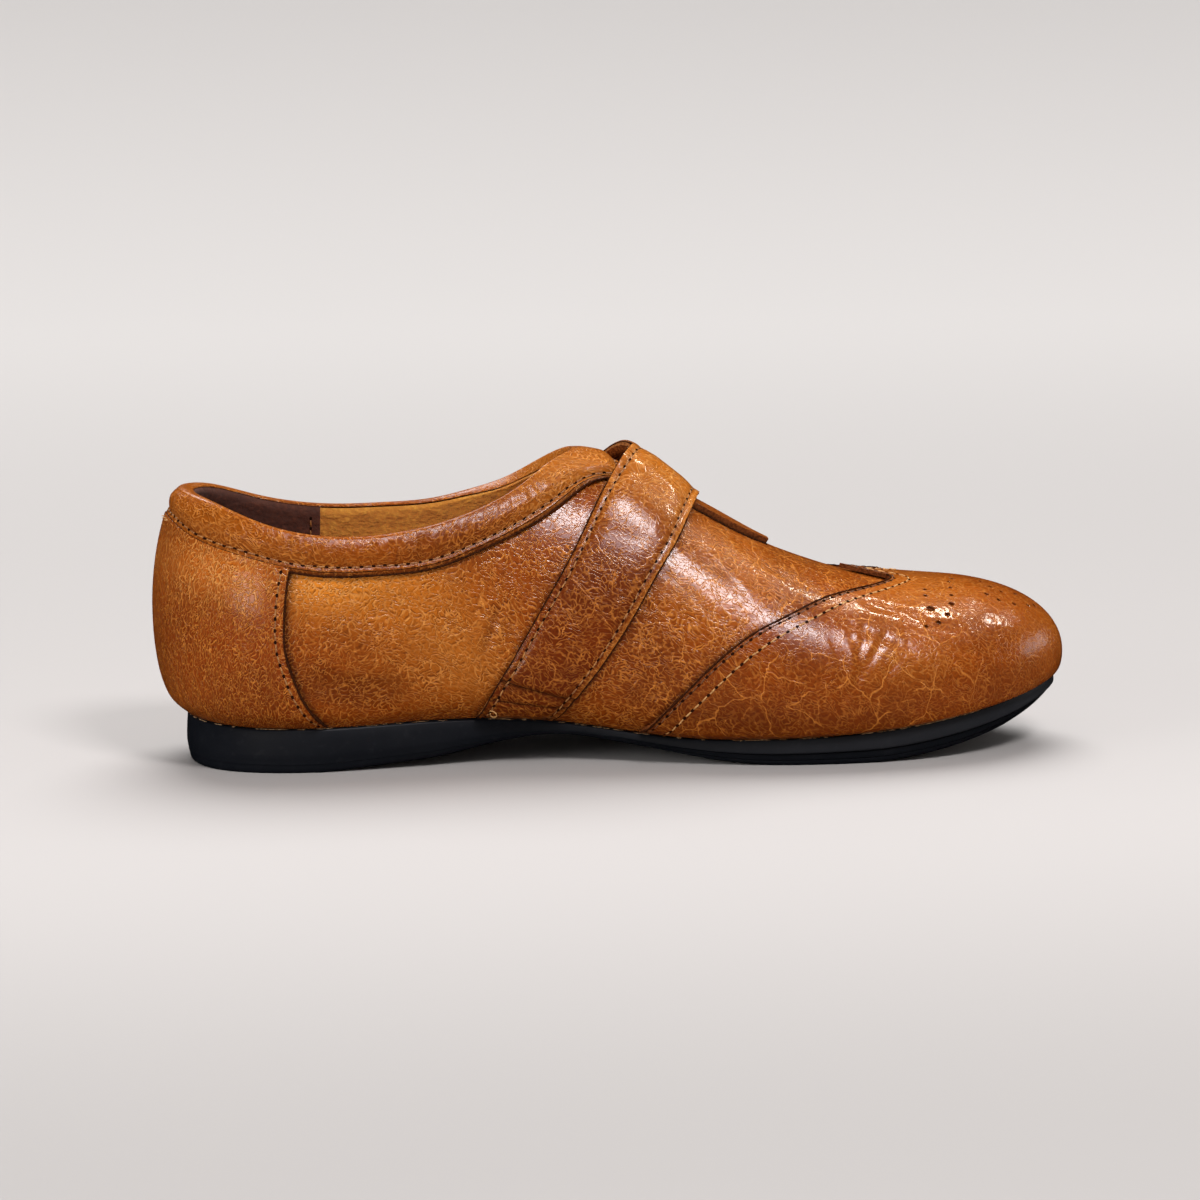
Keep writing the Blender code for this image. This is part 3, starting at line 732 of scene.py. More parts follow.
def leather(name, tone, glow, crackle=1.0, veins=1.0, grain=1.0, relief=1.0, coat=0.5, glaze=0.12):
    """Glazed leather: a fine maze of pale wrinkles, longer cracks and scribbles, darker and lighter places.

    The mesh carries where it is darker (towards DEEP: burnish and painted shade), lighter (towards glow:
    painted highlights and lighter leather), cracked and lumpy.
    """
    s = Shader(name)
    flat = s.mark("skin", "Vector")
    stirred = s.stirred(s.stirred(flat, 8, 1.0), 2.0, 0.3)

    def places(size, low, high, least=0.0, detail=1):
        """Soft-edged places of about that size, 1 inside them."""
        return s.between(s.noise(flat, size, detail, space="2D"), low, high, least)

    # Where the netted wrinkles are whole, where wrinkles wind instead, and how strong they are
    kept = places(1.3, 0.36, 0.5, 0.15)
    choice = places(7, 0.42, 0.58)
    strength = places(9, 0.35, 0.62, 0.55, detail=2)

    def maze(place):
        """Wrinkles, winding in some places and netted in others."""
        place = s.vector("MULTIPLY", place, WRINKLE_STRETCH)
        worms = s.worms(place, 1.2 * grain, 0.11)
        cells = s.both(s.walls(place, 1.5 * grain, 0.29), kept)
        return s.both(s.math("MULTIPLY_ADD", s.math("SUBTRACT", worms, cells), choice, cells), strength)

    fine = maze(stirred)
    # The wrinkles again, moved a little aside and painted dark: painted shade on one side of each raised
    # wrinkle
    wrinkle_shade = maze(s.vector("ADD", stirred, WRINKLE_SHADE_SHIFT))
    # Bolder wrinkles here and there, and long cracks with hairs beside them where the leather bends
    bold = s.both(s.walls(stirred, 3.8, 0.25), places(3, 0.48, 0.56))
    veined = s.mark("vein")
    cracks = s.both(s.walls(stirred, 11.0, 0.26), s.both(places(12, 0.40, 0.50, detail=2), veined))
    hairs = s.both(s.both(s.walls(stirred, 5.5, 0.2), veined), places(4, 0.46, 0.54))
    lines = s.total(
        (fine, 0.62 * crackle), (bold, 0.42 * crackle), (cracks, 0.8 * veins), (hairs, 0.38 * veins)
    )
    lines = s.math("MINIMUM", lines, 1.0)
    patches = s.between(s.noise(s.mm, 26, 3), 0.36, 0.64)
    pores = s.noise(s.mm, 0.8, 2)
    # Dye in soft patches, lightened by painted highlights and darkened by burnish and painted shade from the
    # marks, with pale lines on top
    darker = tuple(0.62 * a + 0.38 * b for a, b in zip(tone, DEEP))
    colour = s.mix(s.mark("fade"), s.mix(patches, tone, darker), glow)
    colour = s.mix(s.both(s.between(pores, 0.48, 0.7), 0.35), colour, DEEP)
    colour = s.mix(s.mark("burnish_and_shade"), colour, DEEP)
    colour = s.mix(s.both(wrinkle_shade, 0.5 * crackle), colour, DEEP)
    share = s.both(lines, s.math("MULTIPLY_ADD", s.mark("burnish_and_shade"), -0.5, 0.9))
    colour = s.mix(share, colour, s.mix(s.mark("fade"), PALE, PALE_LIGHTENED))
    roughness = s.total((lines, 0.10), (pores, 0.10), (patches, 0.05), (1.0, 0.24))
    lumps = s.both(s.noise(s.mm, 5, 2), s.mark("lump"))
    ridge = 0.07 * crackle * relief
    height = s.total(
        (fine, ridge), (bold, ridge), (cracks, 0.07), (hairs, 0.04), (pores, 0.03), (lumps, 0.5)
    )
    return s.finish(colour, roughness, height, coat_weight=coat, coat_roughness=glaze, specular=0.12)


def raw_edge(name, tone, deep):
    """Cut edge of leather: fibrous and dull."""
    s = Shader(name)
    fibre = s.noise(s.mm, 0.6, 4)
    colour = s.mix(s.between(fibre, 0.35, 0.65), deep, tone)
    return s.finish(colour, 0.9, s.total((fibre, 0.12)), specular=0.03)


def suede(name, tone, deep, fibre_size=1.1, crumple=0.5, sheen=0.25):
    """Napped lining or sock: short fibres, a face more or less crumpled, and painted shade that darkens its
    hollows.
    """
    s = Shader(name)
    fibre = s.noise(s.mm, fibre_size, 4)
    patches = s.noise(s.mm, 9, 3)
    folds = s.noise(s.vector("MULTIPLY", s.mm, (1.0, 1.0, 1.6)), 3.2, 3)
    # The colour follows the relief: lower places are darker, painted shade in the hollows
    share = s.total((fibre, 1.1), (patches, 0.5), (folds, 0.9 * crumple), (1.0, -0.8 - 0.45 * crumple))
    colour = s.mix(s.between(share, -0.2, 0.7), deep, tone)
    height = s.total((fibre, 0.25), (patches, 0.1), (folds, 1.6 * crumple))
    return s.finish(colour, 0.9, height, sheen_weight=sheen, sheen_roughness=0.5)


def rubber(name, tone, dust_and_sheen):
    """Moulded rubber: satin, finely pitted, a little scuffed and dusty, with a painted sheen where the mesh
    is marked.
    """
    s = Shader(name)
    grain = s.noise(s.mm, 0.5, 3)
    cloud = s.noise(s.mm, 14, 4)
    scuff = s.between(s.noise(s.mm, 2.2, 5), 0.56, 0.74)
    # Scuffs and clouds are lighter dust; the marked band gets a painted sheen
    share = s.total((scuff, 0.28), (s.between(cloud, 0.4, 0.7), 0.12), (s.mark("band"), 0.75))
    colour = s.mix(s.math("MINIMUM", share, 1.0), tone, dust_and_sheen)
    roughness = s.total((grain, 0.12), (cloud, 0.16), (1.0, 0.36))
    return s.finish(colour, roughness, s.total((grain, 0.03), (cloud, 0.08)), specular=0.16)


def thread(name, tone, deep):
    """Waxed thread with a faint twist."""
    s = Shader(name)
    twist = s.noise(s.mm, 0.5, 2)
    return s.finish(s.mix(s.between(twist, 0.35, 0.65), deep, tone), 0.55, s.total((twist, 0.06)))


upper_leather = leather(
    "upper_leather", tone=(0.30, 0.055, 0.002), glow=(0.88, 0.275, 0.022),
    crackle=1.1, veins=0.8, grain=0.98, relief=1.2,
)
toe_leather = leather(
    "toe_cap_leather", tone=(0.295, 0.053, 0.002), glow=(0.54, 0.145, 0.010),
    crackle=0.55, veins=0.8, grain=0.92,
)
counter_leather = leather(
    "counter_leather", tone=(0.28, 0.047, 0.002), glow=(0.60, 0.152, 0.012),
    crackle=1.2, veins=0.5, grain=1.08, relief=1.6,
)
band_leather = leather(
    "collar_leather", tone=(0.30, 0.061, 0.002), glow=(0.58, 0.175, 0.014),
    crackle=0.9, veins=0.3, grain=0.95, coat=0.21, glaze=0.13,
)
strap_leather = leather(
    "strap_leather", tone=(0.18, 0.027, 0.001), glow=(0.54, 0.155, 0.012),
    crackle=0.75, veins=0.7, grain=0.95,
)
tab_leather = leather(
    "tab_leather", tone=(0.24, 0.048, 0.004), glow=(0.40, 0.11, 0.015),
    crackle=0.4, veins=0.2, coat=0.1,
)
tan_edge = raw_edge("leather_edge", (0.34, 0.13, 0.035), (0.13, 0.04, 0.012))
# Dark cut edges, also used for the dark lines painted as shade in folds and under the tab's edge
dark_edge = raw_edge("burnished_edge_and_shade", (0.060, 0.016, 0.005), (0.025, 0.008, 0.003))
brown_edge = raw_edge("brown_edge", (0.22, 0.065, 0.018), (0.10, 0.028, 0.008))
# Tan suede, its tone pushed to full brightness: partly painted light for the inside of the shoe
lining_suede = suede("lining_suede", (1.0, 0.50, 0.06), (0.62, 0.23, 0.02))
heel_suede = suede("heel_lining_leather", (0.175, 0.045, 0.016), (0.075, 0.018, 0.007), 1.6, 0.3, sheen=0.03)
sock_leather = suede("insole_leather", (0.36, 0.17, 0.055), (0.24, 0.105, 0.03), 1.4, 0.1, sheen=0.05)
sole_rubber = rubber("sole_rubber", (0.0072, 0.0086, 0.0125), (0.020, 0.021, 0.025))
tan_thread = thread("tan_thread", (0.52, 0.23, 0.06), (0.24, 0.08, 0.02))
pale_thread = thread("pale_thread", (0.74, 0.42, 0.15), (0.48, 0.22, 0.06))
dark_thread = thread("dark_thread", (0.26, 0.09, 0.025), (0.10, 0.03, 0.008))
glue = raw_edge("glue_bits", (0.46, 0.30, 0.17), (0.14, 0.07, 0.03))
# Painted shade of the needle holes
needle_hole_shade = raw_edge("needle_hole_shade", (0.03, 0.009, 0.004), (0.012, 0.004, 0.002))


HEM_T = 0.08


def hem(t):
    """0 at the sole to 1 a little above it, where a piece comes out of the joint."""
    return smooth_step(t, 0, HEM_T)


def near_sole(t, reach):
    """1 at the sole, 0 from that t on."""
    return 1 - smooth_step(t, 0, reach)


def rising_t(spots_below, spots_above):
    """t from a piece's foot to the ridge, with that many spots below and above the girth line."""
    below = np.linspace(FOOT_T, GIRTH_T, spots_below)
    return np.concatenate([below, np.linspace(GIRTH_T, 1, spots_above)[1:]])


def wing_x(t):
    return spline(WING["t"], WING["x"], t)


def strap_x(t, across):
    """Girth x of the strap at a share of the way from its rear to its front edge."""
    rear = spline(STRAP["t"], STRAP["rear"], t)
    front = spline(STRAP["t"], STRAP["front"], t)
    return rear + (front - rear) * across


def counter_x(share):
    return spline(COUNTER["share"], COUNTER["x"], share)


COUNTER_TOP_T = 0.43


def counter_x_at(t):
    """Girth x of the counter's front edge at t."""
    return counter_x(np.clip(t / COUNTER_TOP_T, 0, 1))


def upper_patch(side):
    """Vamp and quarter, from the sole to the edge of the opening and, in front of it, to the ridge."""
    back = ((HEEL_X, HEEL_TURN_X, 8), (HEEL_TURN_X, 34, 14), (34, BAND_TURN_X, 60))
    front = ((BAND_TURN_X, THROAT_X, 22), (THROAT_X, 212, 92), (212, TOE_X, 20))
    u = spread_stations(*back, *front)
    t = np.linspace(0, 1, 84) * collar_t(u, side)[:, None]
    points = last_point(u[:, None], t, side)
    relief = crease_relief("upper", points, side)
    x = station_x(u)[:, None]
    burnish_and_shade, fade = tints("upper", x, t)
    to_wing = wing_x(t) - x
    to_strap = np.minimum(np.abs(strap_x(t, 0) - x), np.abs(strap_x(t, 1) - x))
    # Painted shade on the upper beside the wing's edge, the strap and the counter's edge, and in the hollows
    # of the creases; the upper is also darker towards the sole
    painted_shade = 0.9 * bump(to_wing, 0.9) + 0.6 * bump(to_strap, 1.0) + 0.9 * bump(counter_x_at(t) - x + 0.3, 0.8)
    painted_shade = painted_shade + CREASE_SHADE * np.clip(-relief, 0, CREASE_SHADE_DEPTH)
    burnish_and_shade = burnish_and_shade + 0.45 * near_sole(t, 0.1) + painted_shade
    vein = np.broadcast_to(smooth_step(x, 118, 140), t.shape)
    lump = 0.12 + 0.25 * smooth_step(x, 135, 160)
    return laid(u[:, None], t, side, relief, burnish_and_shade, fade, vein, lump)


GIMP_PITCH, GIMP_DEPTH, GIMP_REACH = 1.7, 0.45, 1.6


def toe_cap_patch(side):
    """From the gimped edge of the wing to the toe tip."""
    t = rising_t(28, 104)
    edge_x = wing_x(t)
    along = run_length(line_on_shoe(edge_x, t, side))
    tooth = GIMP_DEPTH * (2 * np.abs(np.mod(along / GIMP_PITCH, 1) - 0.5) - 0.5)
    share = np.linspace(0, 1, 136)[:, None]
    edge = station(edge_x)
    u = edge + share * (1 - edge)
    inward = station_x(u) - edge_x
    u = u + (station(edge_x + tooth) - edge) * bump(inward, GIMP_REACH)
    t = np.broadcast_to(t, u.shape)
    points = last_point(u, t, side)
    relief = crease_relief("toe_cap", points, side)
    lift = GAP + (WING_FACE - GAP) * hem(t) + relief
    x = station_x(u)
    burnish_and_shade, fade = tints("toe_cap", x, t)
    burnish_and_shade = burnish_and_shade + 0.35 * near_sole(t, HEM_T) + 0.8 * bump(inward, 0.8)
    vein = 1 - 0.8 * smooth_step(x, 215, 240)
    lump = 0.25 + 0.9 * smooth_step(t, 0.3, 0.6) * smooth_step(x, 185, 205)
    return laid(u, t, side, lift, burnish_and_shade, fade, vein, lump)


COUNTER_TUCK = 0.012
BACK_RIDGE_Y, BACK_RIDGE_RISE = 2.2, 0.25


def heel_counter_patch(side):
    """From the back of the heel to the curved front edge, with a low ridge on either side of the middle."""
    share = np.linspace(0, 1, 72)
    u = station(counter_x(share)) * share[:, None]
    t = FOOT_T + share * (band_t(u, side) + COUNTER_TUCK - FOOT_T)
    points = last_point(u, t, side)
    relief = crease_relief("heel_counter", points, side)
    off_middle = np.abs(points[..., 1])
    relief = relief + BACK_RIDGE_RISE * bump(off_middle - BACK_RIDGE_Y, 0.8) * smooth_step(t, 0.1, 0.3)
    lift = GAP + OVERLAY * hem(t) + relief
    to_edge = counter_x(share) - station_x(u)
    burnish_and_shade, fade = tints("heel_counter", station_x(u), t)
    burnish_and_shade = burnish_and_shade + 0.4 * near_sole(t, 0.1) + 0.4 * bump(to_edge, 0.6)
    return laid(u, t, side, lift, burnish_and_shade, fade, vein=0.4, lump=0.15)


BAND_LEATHER = 0.7
BAND_SEAM, BAND_SEAM_DEPTH, BAND_LINE = 2.4, 0.45, 1.1
BAND_PUFF, BAND_EDGE_DROP = 1.2, 0.75
BAND_WRINKLES = 220
CROSSING_STEPS = 22  # where the band's lower edge runs over the instep
RIM_INNER_LIFT, RIM_TURN = -3.0, np.radians(118)
RIM_RADIUS, RIM_MIDDLE = (BAND_FACE - RIM_INNER_LIFT) / 2, (BAND_FACE + RIM_INNER_LIFT) / 2
RIM_RISE = table(
    "x z_in z_out",
    [(1.5, 1.4, 1.4), (26, 1.2, 2.9), (70, 1.2, 2.4), (90, 1.1, 1.2), (105, 0.8, 0.2), (118, 0.9, 0.9)],
)
RIM_BACK_LEAN, RIM_LEAN_X = 1.7, (2, 28)


def rim_rise(x, side):
    """Height of the rolled rim over the collar's edge; the two sides meet at the heel and at the throat."""
    return spline(RIM_RISE["x"], RIM_RISE[side_column("z", side)], x)


def back_lean(x):
    """How far the band's upper edge leans in at the back of the heel."""
    return RIM_BACK_LEAN * (1 - smooth_step(x, *RIM_LEAN_X))


def collar_band_lines(side):
    """u and t of the upper and the lower edge of the band, column by column from the heel."""
    back = spread_stations((HEEL_X, HEEL_TURN_X, 26), (HEEL_TURN_X, 40, 76), (40, BAND_TURN_X, 140))
    front = spread_stations((BAND_TURN_X, 110, 36), (110, THROAT_X, 40))[1:]
    edge_u = np.concatenate([back, front])
    lower = spread_stations((BAND_TURN_X, BAND_FRONT_X, len(front) - CROSSING_STEPS))[1:]
    low_u = np.concatenate([back, lower, np.full(CROSSING_STEPS, lower[-1])])
    low_t = band_t(low_u, side)
    crossing = np.linspace(0, 1, CROSSING_STEPS + 1)[1:]
    low_t[-CROSSING_STEPS:] += (1 - low_t[-CROSSING_STEPS:]) * crossing
    return edge_u, collar_t(edge_u, side), low_u, low_t


def on_band(lines, across, side, lift):
    """Points at a share of the way from the band's upper to its lower edge."""
    edge_u, edge_t, low_u, low_t = lines
    u = edge_u + (low_u - edge_u) * across
    t = edge_t + (low_t - edge_t) * across
    return lifted(u, t, side, np.broadcast_to(lift, u.shape))


def rolled(rim, radius, outward, rise, upward, angle):
    """Points of the rolled rim, at an angle that runs from its outside over the top."""
    return rim + radius * outward * np.cos(angle) + rise * upward * np.sin(angle)


def collar_band_patch(side):
    """From the lower edge up the padded outside, round the edge of the upper, and down the inside."""
    lines = collar_band_lines(side)
    edge_u, edge_t = lines[:2]

    def on_last(across, lift):
        return on_band(lines, across, side, lift)

    def top_puff(across):
        return BAND_PUFF * smooth_step(across, -0.35, 0.3)

    width = np.linalg.norm(on_last(1, 0) - on_last(0, 0), axis=-1)
    along = run_length(on_last(0.5, 0))
    lean = back_lean(station_x(edge_u))
    rim = on_last(0, RIM_MIDDLE - lean)
    outward = last_normal(edge_u, edge_t, side)
    upward = unit(on_last(0, 0) - on_last(0.05, 0))
    wrinkle_at = rng.uniform(0, along[-1], BAND_WRINKLES)
    wrinkle_width = rng.uniform(0.35, 0.9, BAND_WRINKLES)
    wrinkle_depth = rng.uniform(0.03, 0.17, BAND_WRINKLES)
    wrinkle_reach = rng.uniform(0.25, 0.8, BAND_WRINKLES)
    rows, seam_row = [], []
    for across in np.concatenate([np.linspace(1, 0.6, 16), np.linspace(0.6, 0, 18)[1:]]):
        up_from_edge = (1 - across) * width
        puff = top_puff(across) * smooth_step(up_from_edge, BAND_SEAM, BAND_SEAM + 4.0)
        seam = BAND_SEAM_DEPTH * bump(up_from_edge - BAND_SEAM, 0.9)
        drop = BAND_EDGE_DROP * bump(up_from_edge, 1.1)
        lift = BAND_FACE + puff - seam - drop - lean * (1 - across) ** 1.5
        under_rim = smooth_step(across, 0.0, 0.3)
        for at, wide, depth, reach in zip(wrinkle_at, wrinkle_width, wrinkle_depth, wrinkle_reach):
            fading = smooth_step(across, reach + 0.3, reach - 0.1)
            lift = lift - depth * bump(along - at, wide) * fading * under_rim
        rows.append(on_last(across, lift))
        # Darker along the lower edge, and painted shade in the seam's groove
        seam_row.append(0.95 * bump(up_from_edge, 0.9) + 0.35 * bump(up_from_edge - BAND_SEAM, 0.7))
    rise = rim_rise(station_x(edge_u), side)[:, None]
    for angle in np.linspace(0, RIM_TURN, 11):
        reach = RIM_RADIUS + top_puff(0) * np.cos(angle / 2) ** 2
        rows.append(rolled(rim, reach, outward, rise, upward, angle))
        # Painted shade where the rim turns down into the shoe
        seam_row.append(np.full(len(edge_u), 0.5 * bump(angle - RIM_TURN, 0.15)))
    burnish_and_shade, fade = tints("collar_band", station_x(edge_u)[:, None], edge_t[:, None])
    burnish_and_shade = burnish_and_shade + np.stack(seam_row, axis=1)
    points = np.stack(rows, axis=1)
    down = np.cumsum(np.linalg.norm(np.diff(points, axis=1, prepend=points[:, :1]), axis=-1), axis=1)
    place = np.stack([np.broadcast_to(along[:, None], down.shape), down * side, np.zeros(down.shape)], -1)
    return points, marks(place, burnish_and_shade, fade, vein=0.2, lump=0.2)


STRAP_SEAM, STRAP_SEAM_DEPTH, STRAP_CROWN, STRAP_EDGE_DROP = 2.1, 0.3, 0.4, 0.6
STRAP_FOOT_STEP, STRAP_BASE_FOLD, STRAP_SECOND_FOLD = 0.5, 0.35, 0.3
STRAP_BASE_T, STRAP_BASE_SLOPE = 0.19, -0.045
STRAP_SECOND_T, STRAP_SECOND_SLOPE = 0.125, -0.02


def strap_place(t, across, side):
    """u and lift of the strap's outer face at a share of the way from its rear to its front edge."""
    u = station(strap_x(t, across))
    top_lift = STRAP_REAR_LIFT + (STRAP_FRONT_LIFT - STRAP_REAR_LIFT) * across
    side_lift = GAP + STRAP_SIDE_LIFT * smooth_step(t, *STRAP_RISE_T[side]) * (1 - across**2)
    lift = side_lift + (top_lift - side_lift) * smooth_step(t, 0.76, 0.96)
    return u, lift + STRAP_THICKNESS


def strap_patch(side):
    """From the rear to the front edge, with a crown between its two seams and a doubled foot."""
    t = rising_t(50, 110)
    across = np.concatenate(
        [np.linspace(0, 0.16, 10), np.linspace(0.16, 0.84, 26)[1:], np.linspace(0.84, 1, 10)[1:]]
    )[:, None]
    u, lift = strap_place(t, across, side)
    t = np.broadcast_to(t, u.shape)
    points = last_point(u, t, side)
    width = np.linalg.norm(points[-1] - points[0], axis=-1)
    from_edge = np.minimum(across, 1 - across) * width
    crown = STRAP_CROWN * smooth_step(from_edge, STRAP_SEAM, STRAP_SEAM + 5)
    crown = crown - STRAP_SEAM_DEPTH * bump(from_edge - STRAP_SEAM, 0.8)
    crown = crown - STRAP_EDGE_DROP * bump(from_edge, 1.2) * (1 - smooth_step(t, 0.7, 0.9))
    over_base = t - (STRAP_BASE_T + STRAP_BASE_SLOPE * across)
    over_second = t - (STRAP_SECOND_T + STRAP_SECOND_SLOPE * across)
    base_step = -STRAP_FOOT_STEP * smooth_step(-over_base, -0.003, 0.006)
    base_step = base_step - STRAP_BASE_FOLD * bump(over_base, 0.007)
    base_step = base_step - STRAP_SECOND_FOLD * bump(over_second, 0.006)
    relief = crease_relief("strap", points, side)
    lift = GAP + (lift + crown + base_step - GAP) * hem(t) + relief
    burnish_and_shade, fade = tints("strap", station_x(u), t)
    # Painted shade in the folds of the doubled foot
    burnish_and_shade = burnish_and_shade + 0.6 * bump(over_base, 0.009) + 0.5 * bump(over_second, 0.007)
    # Darker towards the sole, and painted shade in the seams' grooves
    burnish_and_shade = burnish_and_shade + 0.3 * near_sole(t, 0.06) + 0.3 * bump(from_edge - STRAP_SEAM, 0.6)
    # Painted highlight along the front edge
    fade = np.clip(fade + 0.7 * bump(from_edge, 0.9) * smooth_step(across, 0.5, 0.9), 0, 1)
    return laid(u, t, side, lift, burnish_and_shade, fade, vein=0.7, lump=0.2)


TAB_DEPTH, TAB_SHADOW_T = 2.1, 0.004


def tongue_tab_patch(side):
    """From the edge of the strip up to the ridge, a little domed."""
    x = np.linspace(TAB["x"][0], TAB["x"][-1], 70)
    across = np.linspace(1, 0, 14)
    t = 1 - spline(TAB["x"], TAB["half_t"], x)[:, None] * across
    lift = GAP + TAB_THICKNESS + spline(TAB["x"], TAB["lift"], x)[:, None] + 0.2 * (1 - across**2)
    u = np.broadcast_to(station(x)[:, None], t.shape)
    return laid(u, t, side, lift, burnish_and_shade=0.3 * bump(across - 1, 0.3), fade=0.3, vein=0.2, lump=0.2)


HEEL_LINING_X, LINING_FRONT_X = 49.0, 112.0
HEEL_LINING, QUARTER_LINING = 0.5, 0.3
HEEL_LINING_LIFT, QUARTER_LINING_LIFT = -WALL - 0.6, -WALL - 0.15
HEEL_SINK, QUARTER_SINK = 0.15, 0.5
LINING_OVERLAP, LINING_FOOT, LINING_TUCK = 1.0, 0.04, np.radians(10)


def lining_patch(first_x, last_x, lift, sink):
    """Lining from inside the rolled rim down the inside of the upper."""

    def patch(side):
        u = spread_stations((first_x, last_x, int(last_x - first_x) + 4))
        edge_t = collar_t(u, side)
        outward = last_normal(u, edge_t, side)
        upward = unit(last_point(u, edge_t, side) - last_point(u, edge_t - 0.02, side))
        radius = RIM_RADIUS - sink
        lean = back_lean(station_x(u))
        rim = lifted(u, edge_t, side, RIM_MIDDLE - lean)
        rise = rim_rise(station_x(u), side)[:, None] - sink
        angles = np.linspace(RIM_TURN - LINING_TUCK, np.pi, 8)
        rows = [rolled(rim, radius, outward, rise, upward, angle) for angle in angles]
        top = RIM_INNER_LIFT + sink - lean
        for share in np.linspace(1, LINING_FOOT, 34)[1:]:
            settled = smooth_step(1 - share, 0.0, 0.12)
            rows.append(lifted(u, share * edge_t, side, top + (lift - top) * settled))
        return np.stack(rows, axis=1), {}

    return patch


def feather_offset(u, side, out):
    """The feather line moved outward in plan, or inward where out is negative."""
    along = outline("feather", u + STEP, side) - outline("feather", u - STEP, side)
    outward = unit(np.stack([-along[:, 1], along[:, 0], np.zeros(len(along))], -1) * side)
    return outline("feather", u, side) + outward * np.asarray(out)[..., None]


def across_shoe(first, last, count):
    """Rows of points from one edge line to the other, without the ends."""
    return [first + (last - first) * share for share in np.linspace(0, 1, count + 2)[1:-1]]


# Profile of the sole's side: share of the height from the top, and what is taken off the margin there:
# a fixed amount, a share of the side step and a share of the inset at the bottom edge
SOLE_PROFILE = table(
    "share fixed step inset",
    [
        (0.0, 0.45, 0, 0), (0.015, 0.15, 0, 0), (0.05, 0.0, 0, 0), (0.25, -0.2, 0, 0),
        (0.45, -SOLE_BULGE, 0, 0), (STEP_SHARE - 0.02, -SOLE_BULGE, 0, 0),
        (STEP_SHARE - 0.005, -SOLE_BULGE, 0.15, 0), (STEP_SHARE + 0.005, -SOLE_BULGE, 1.3, 0),
        (STEP_SHARE + 0.04, -SOLE_BULGE, 1.35, 0), (STEP_SHARE + 0.055, -SOLE_BULGE, 0.95, 0),
        (0.7, -0.2, 1, 0.1), (0.765, -0.1, 1, 0.17), (0.775, -0.1, 1.5, 0.17), (0.795, -0.1, 1.5, 0.2),
        (0.805, 0, 1, 0.21), (0.83, 0, 1, 0.25), (0.90, 0, 1, 0.38), (0.95, 0, 1, 0.56),
        (0.985, 0, 1, 0.80), (1.0, 0, 1, 1.0),
    ],
)


def sole_sides(u, side):
    """Edge lines down one side of the sole, top to bottom."""
    top = outline("feather", u, side)
    x = top[:, 0]
    top_z = top[:, 2] - GAP
    bottom_z = np.maximum(spline(SOLE["x"], SOLE[side_column("z", side)], x), 0)
    for first, last in (FLAT_HEEL, FLAT_FOREFOOT):
        bottom_z[(x > first) & (x < last)] = 0
    step = np.maximum(spline(SOLE["x"], SOLE["step"], x), 0)
    inset = spline(SOLE["x"], SOLE["inset"], x)
    lines = []
    for share, fixed, step_share, inset_share in zip(*SOLE_PROFILE.values()):
        line = feather_offset(u, side, SOLE_MARGIN - fixed - step * step_share - inset * inset_share)
        line[:, 2] = top_z + (bottom_z - top_z) * share
        lines.append(line)
    return lines


def add_outsole():
    """Closed loop of edge lines: over the top, down the outer side, under the sole and up the inner side."""
    u = spread_stations((HEEL_X, HEEL_TURN_X, 14), (HEEL_TURN_X, 40, 24), (40, 226, 130), (226, TOE_X, 40))
    inner, outer = (sole_sides(u, side) for side in SIDES)
    top = across_shoe(inner[0], outer[0], 5)
    bottom = across_shoe(outer[-1], inner[-1], 9)
    loop = np.stack(top + outer + bottom + inner[::-1] + top[:1], axis=1)
    # The band above the side step in the forefoot is marked for a painted sheen on the rubber
    above_step = (SOLE_PROFILE["share"] < STEP_SHARE).astype(float)
    shares = np.concatenate([np.zeros(len(top)), above_step, np.zeros(len(bottom)), above_step[::-1], [0.0]])
    band = shares * smooth_step(loop[:, :1, 0], 135, 185)
    mesh = mesh_from_grids("outsole_rubber", [(loop, False, {"band": band})])
    mesh.set_sharp_from_angle(angle=SHARP_ANGLE)
    add_piece("outsole_rubber", mesh, [sole_rubber], "outsole")


SOCK_SPREAD = 1.6
SOCK_PROFILE = ((0.0, 0.0), (0.0, 0.7), (0.25, 0.9), (0.7, 1.0))  # inset, and share of the thickness


def add_insole():
    """Sock with a soft upper edge."""
    u = spread_stations((HEEL_X, HEEL_TURN_X, 10), (HEEL_TURN_X, 40, 18), (40, 226, 80), (226, TOE_X, 22))

    def edge_lines(side):
        lines = []
        for inset, rise in SOCK_PROFILE:
            line = feather_offset(u, side, np.full(len(u), SOCK_SPREAD - INSOLE_INSET - inset))
            line[:, 2] += INSOLE_THICKNESS * rise
            lines.append(line)
        return lines

    inner, outer = (edge_lines(side) for side in SIDES)
    top = across_shoe(inner[-1], outer[-1], 15)
    bottom = across_shoe(outer[0], inner[0], 5)
    loop = np.stack(inner + top + outer[::-1] + bottom + inner[:1], axis=1)
    mesh = mesh_from_grids("insole_sock", [(loop, False, {})])
    add_piece("insole_sock", mesh, [sock_leather], "insole")


STITCH_PITCH, STITCH_RISE, STITCH_SINK, STITCH_LEAN = 3.2, 0.18, 0.16, 0.14
THREAD_RADIUS, HOLE_RADIUS = 0.24, 0.48
STRAND_SIDES, HOLE_SIDES = 6, 10
STRAND_MATERIAL, HOLE_MATERIAL = 0, 1
ASKEW = (0.31, 0.17, 0.93)  # a direction that no strand runs in


def surface_of(obj):
    """Search tree of a piece as it shows."""
    return BVHTree.FromObject(obj, bpy.context.evaluated_depsgraph_get())


def snapped(line, tree):
    """Points moved onto a piece's surface, in millimetres, with the surface's normals."""
    found = [tree.find_nearest(Vector(point)) for point in to_frame(line)]
    places = np.array([hit[0] for hit in found]) / MM + ORIGIN
    return places, np.array([hit[1] for hit in found])


def resampled(line, pitch):
    """Points a pitch apart along a line."""
    length = run_length(line)
    at = np.linspace(0, length[-1], max(2, int(round(length[-1] / pitch)) + 1))
    return np.stack([np.interp(at, length, line[:, k]) for k in range(3)], -1)


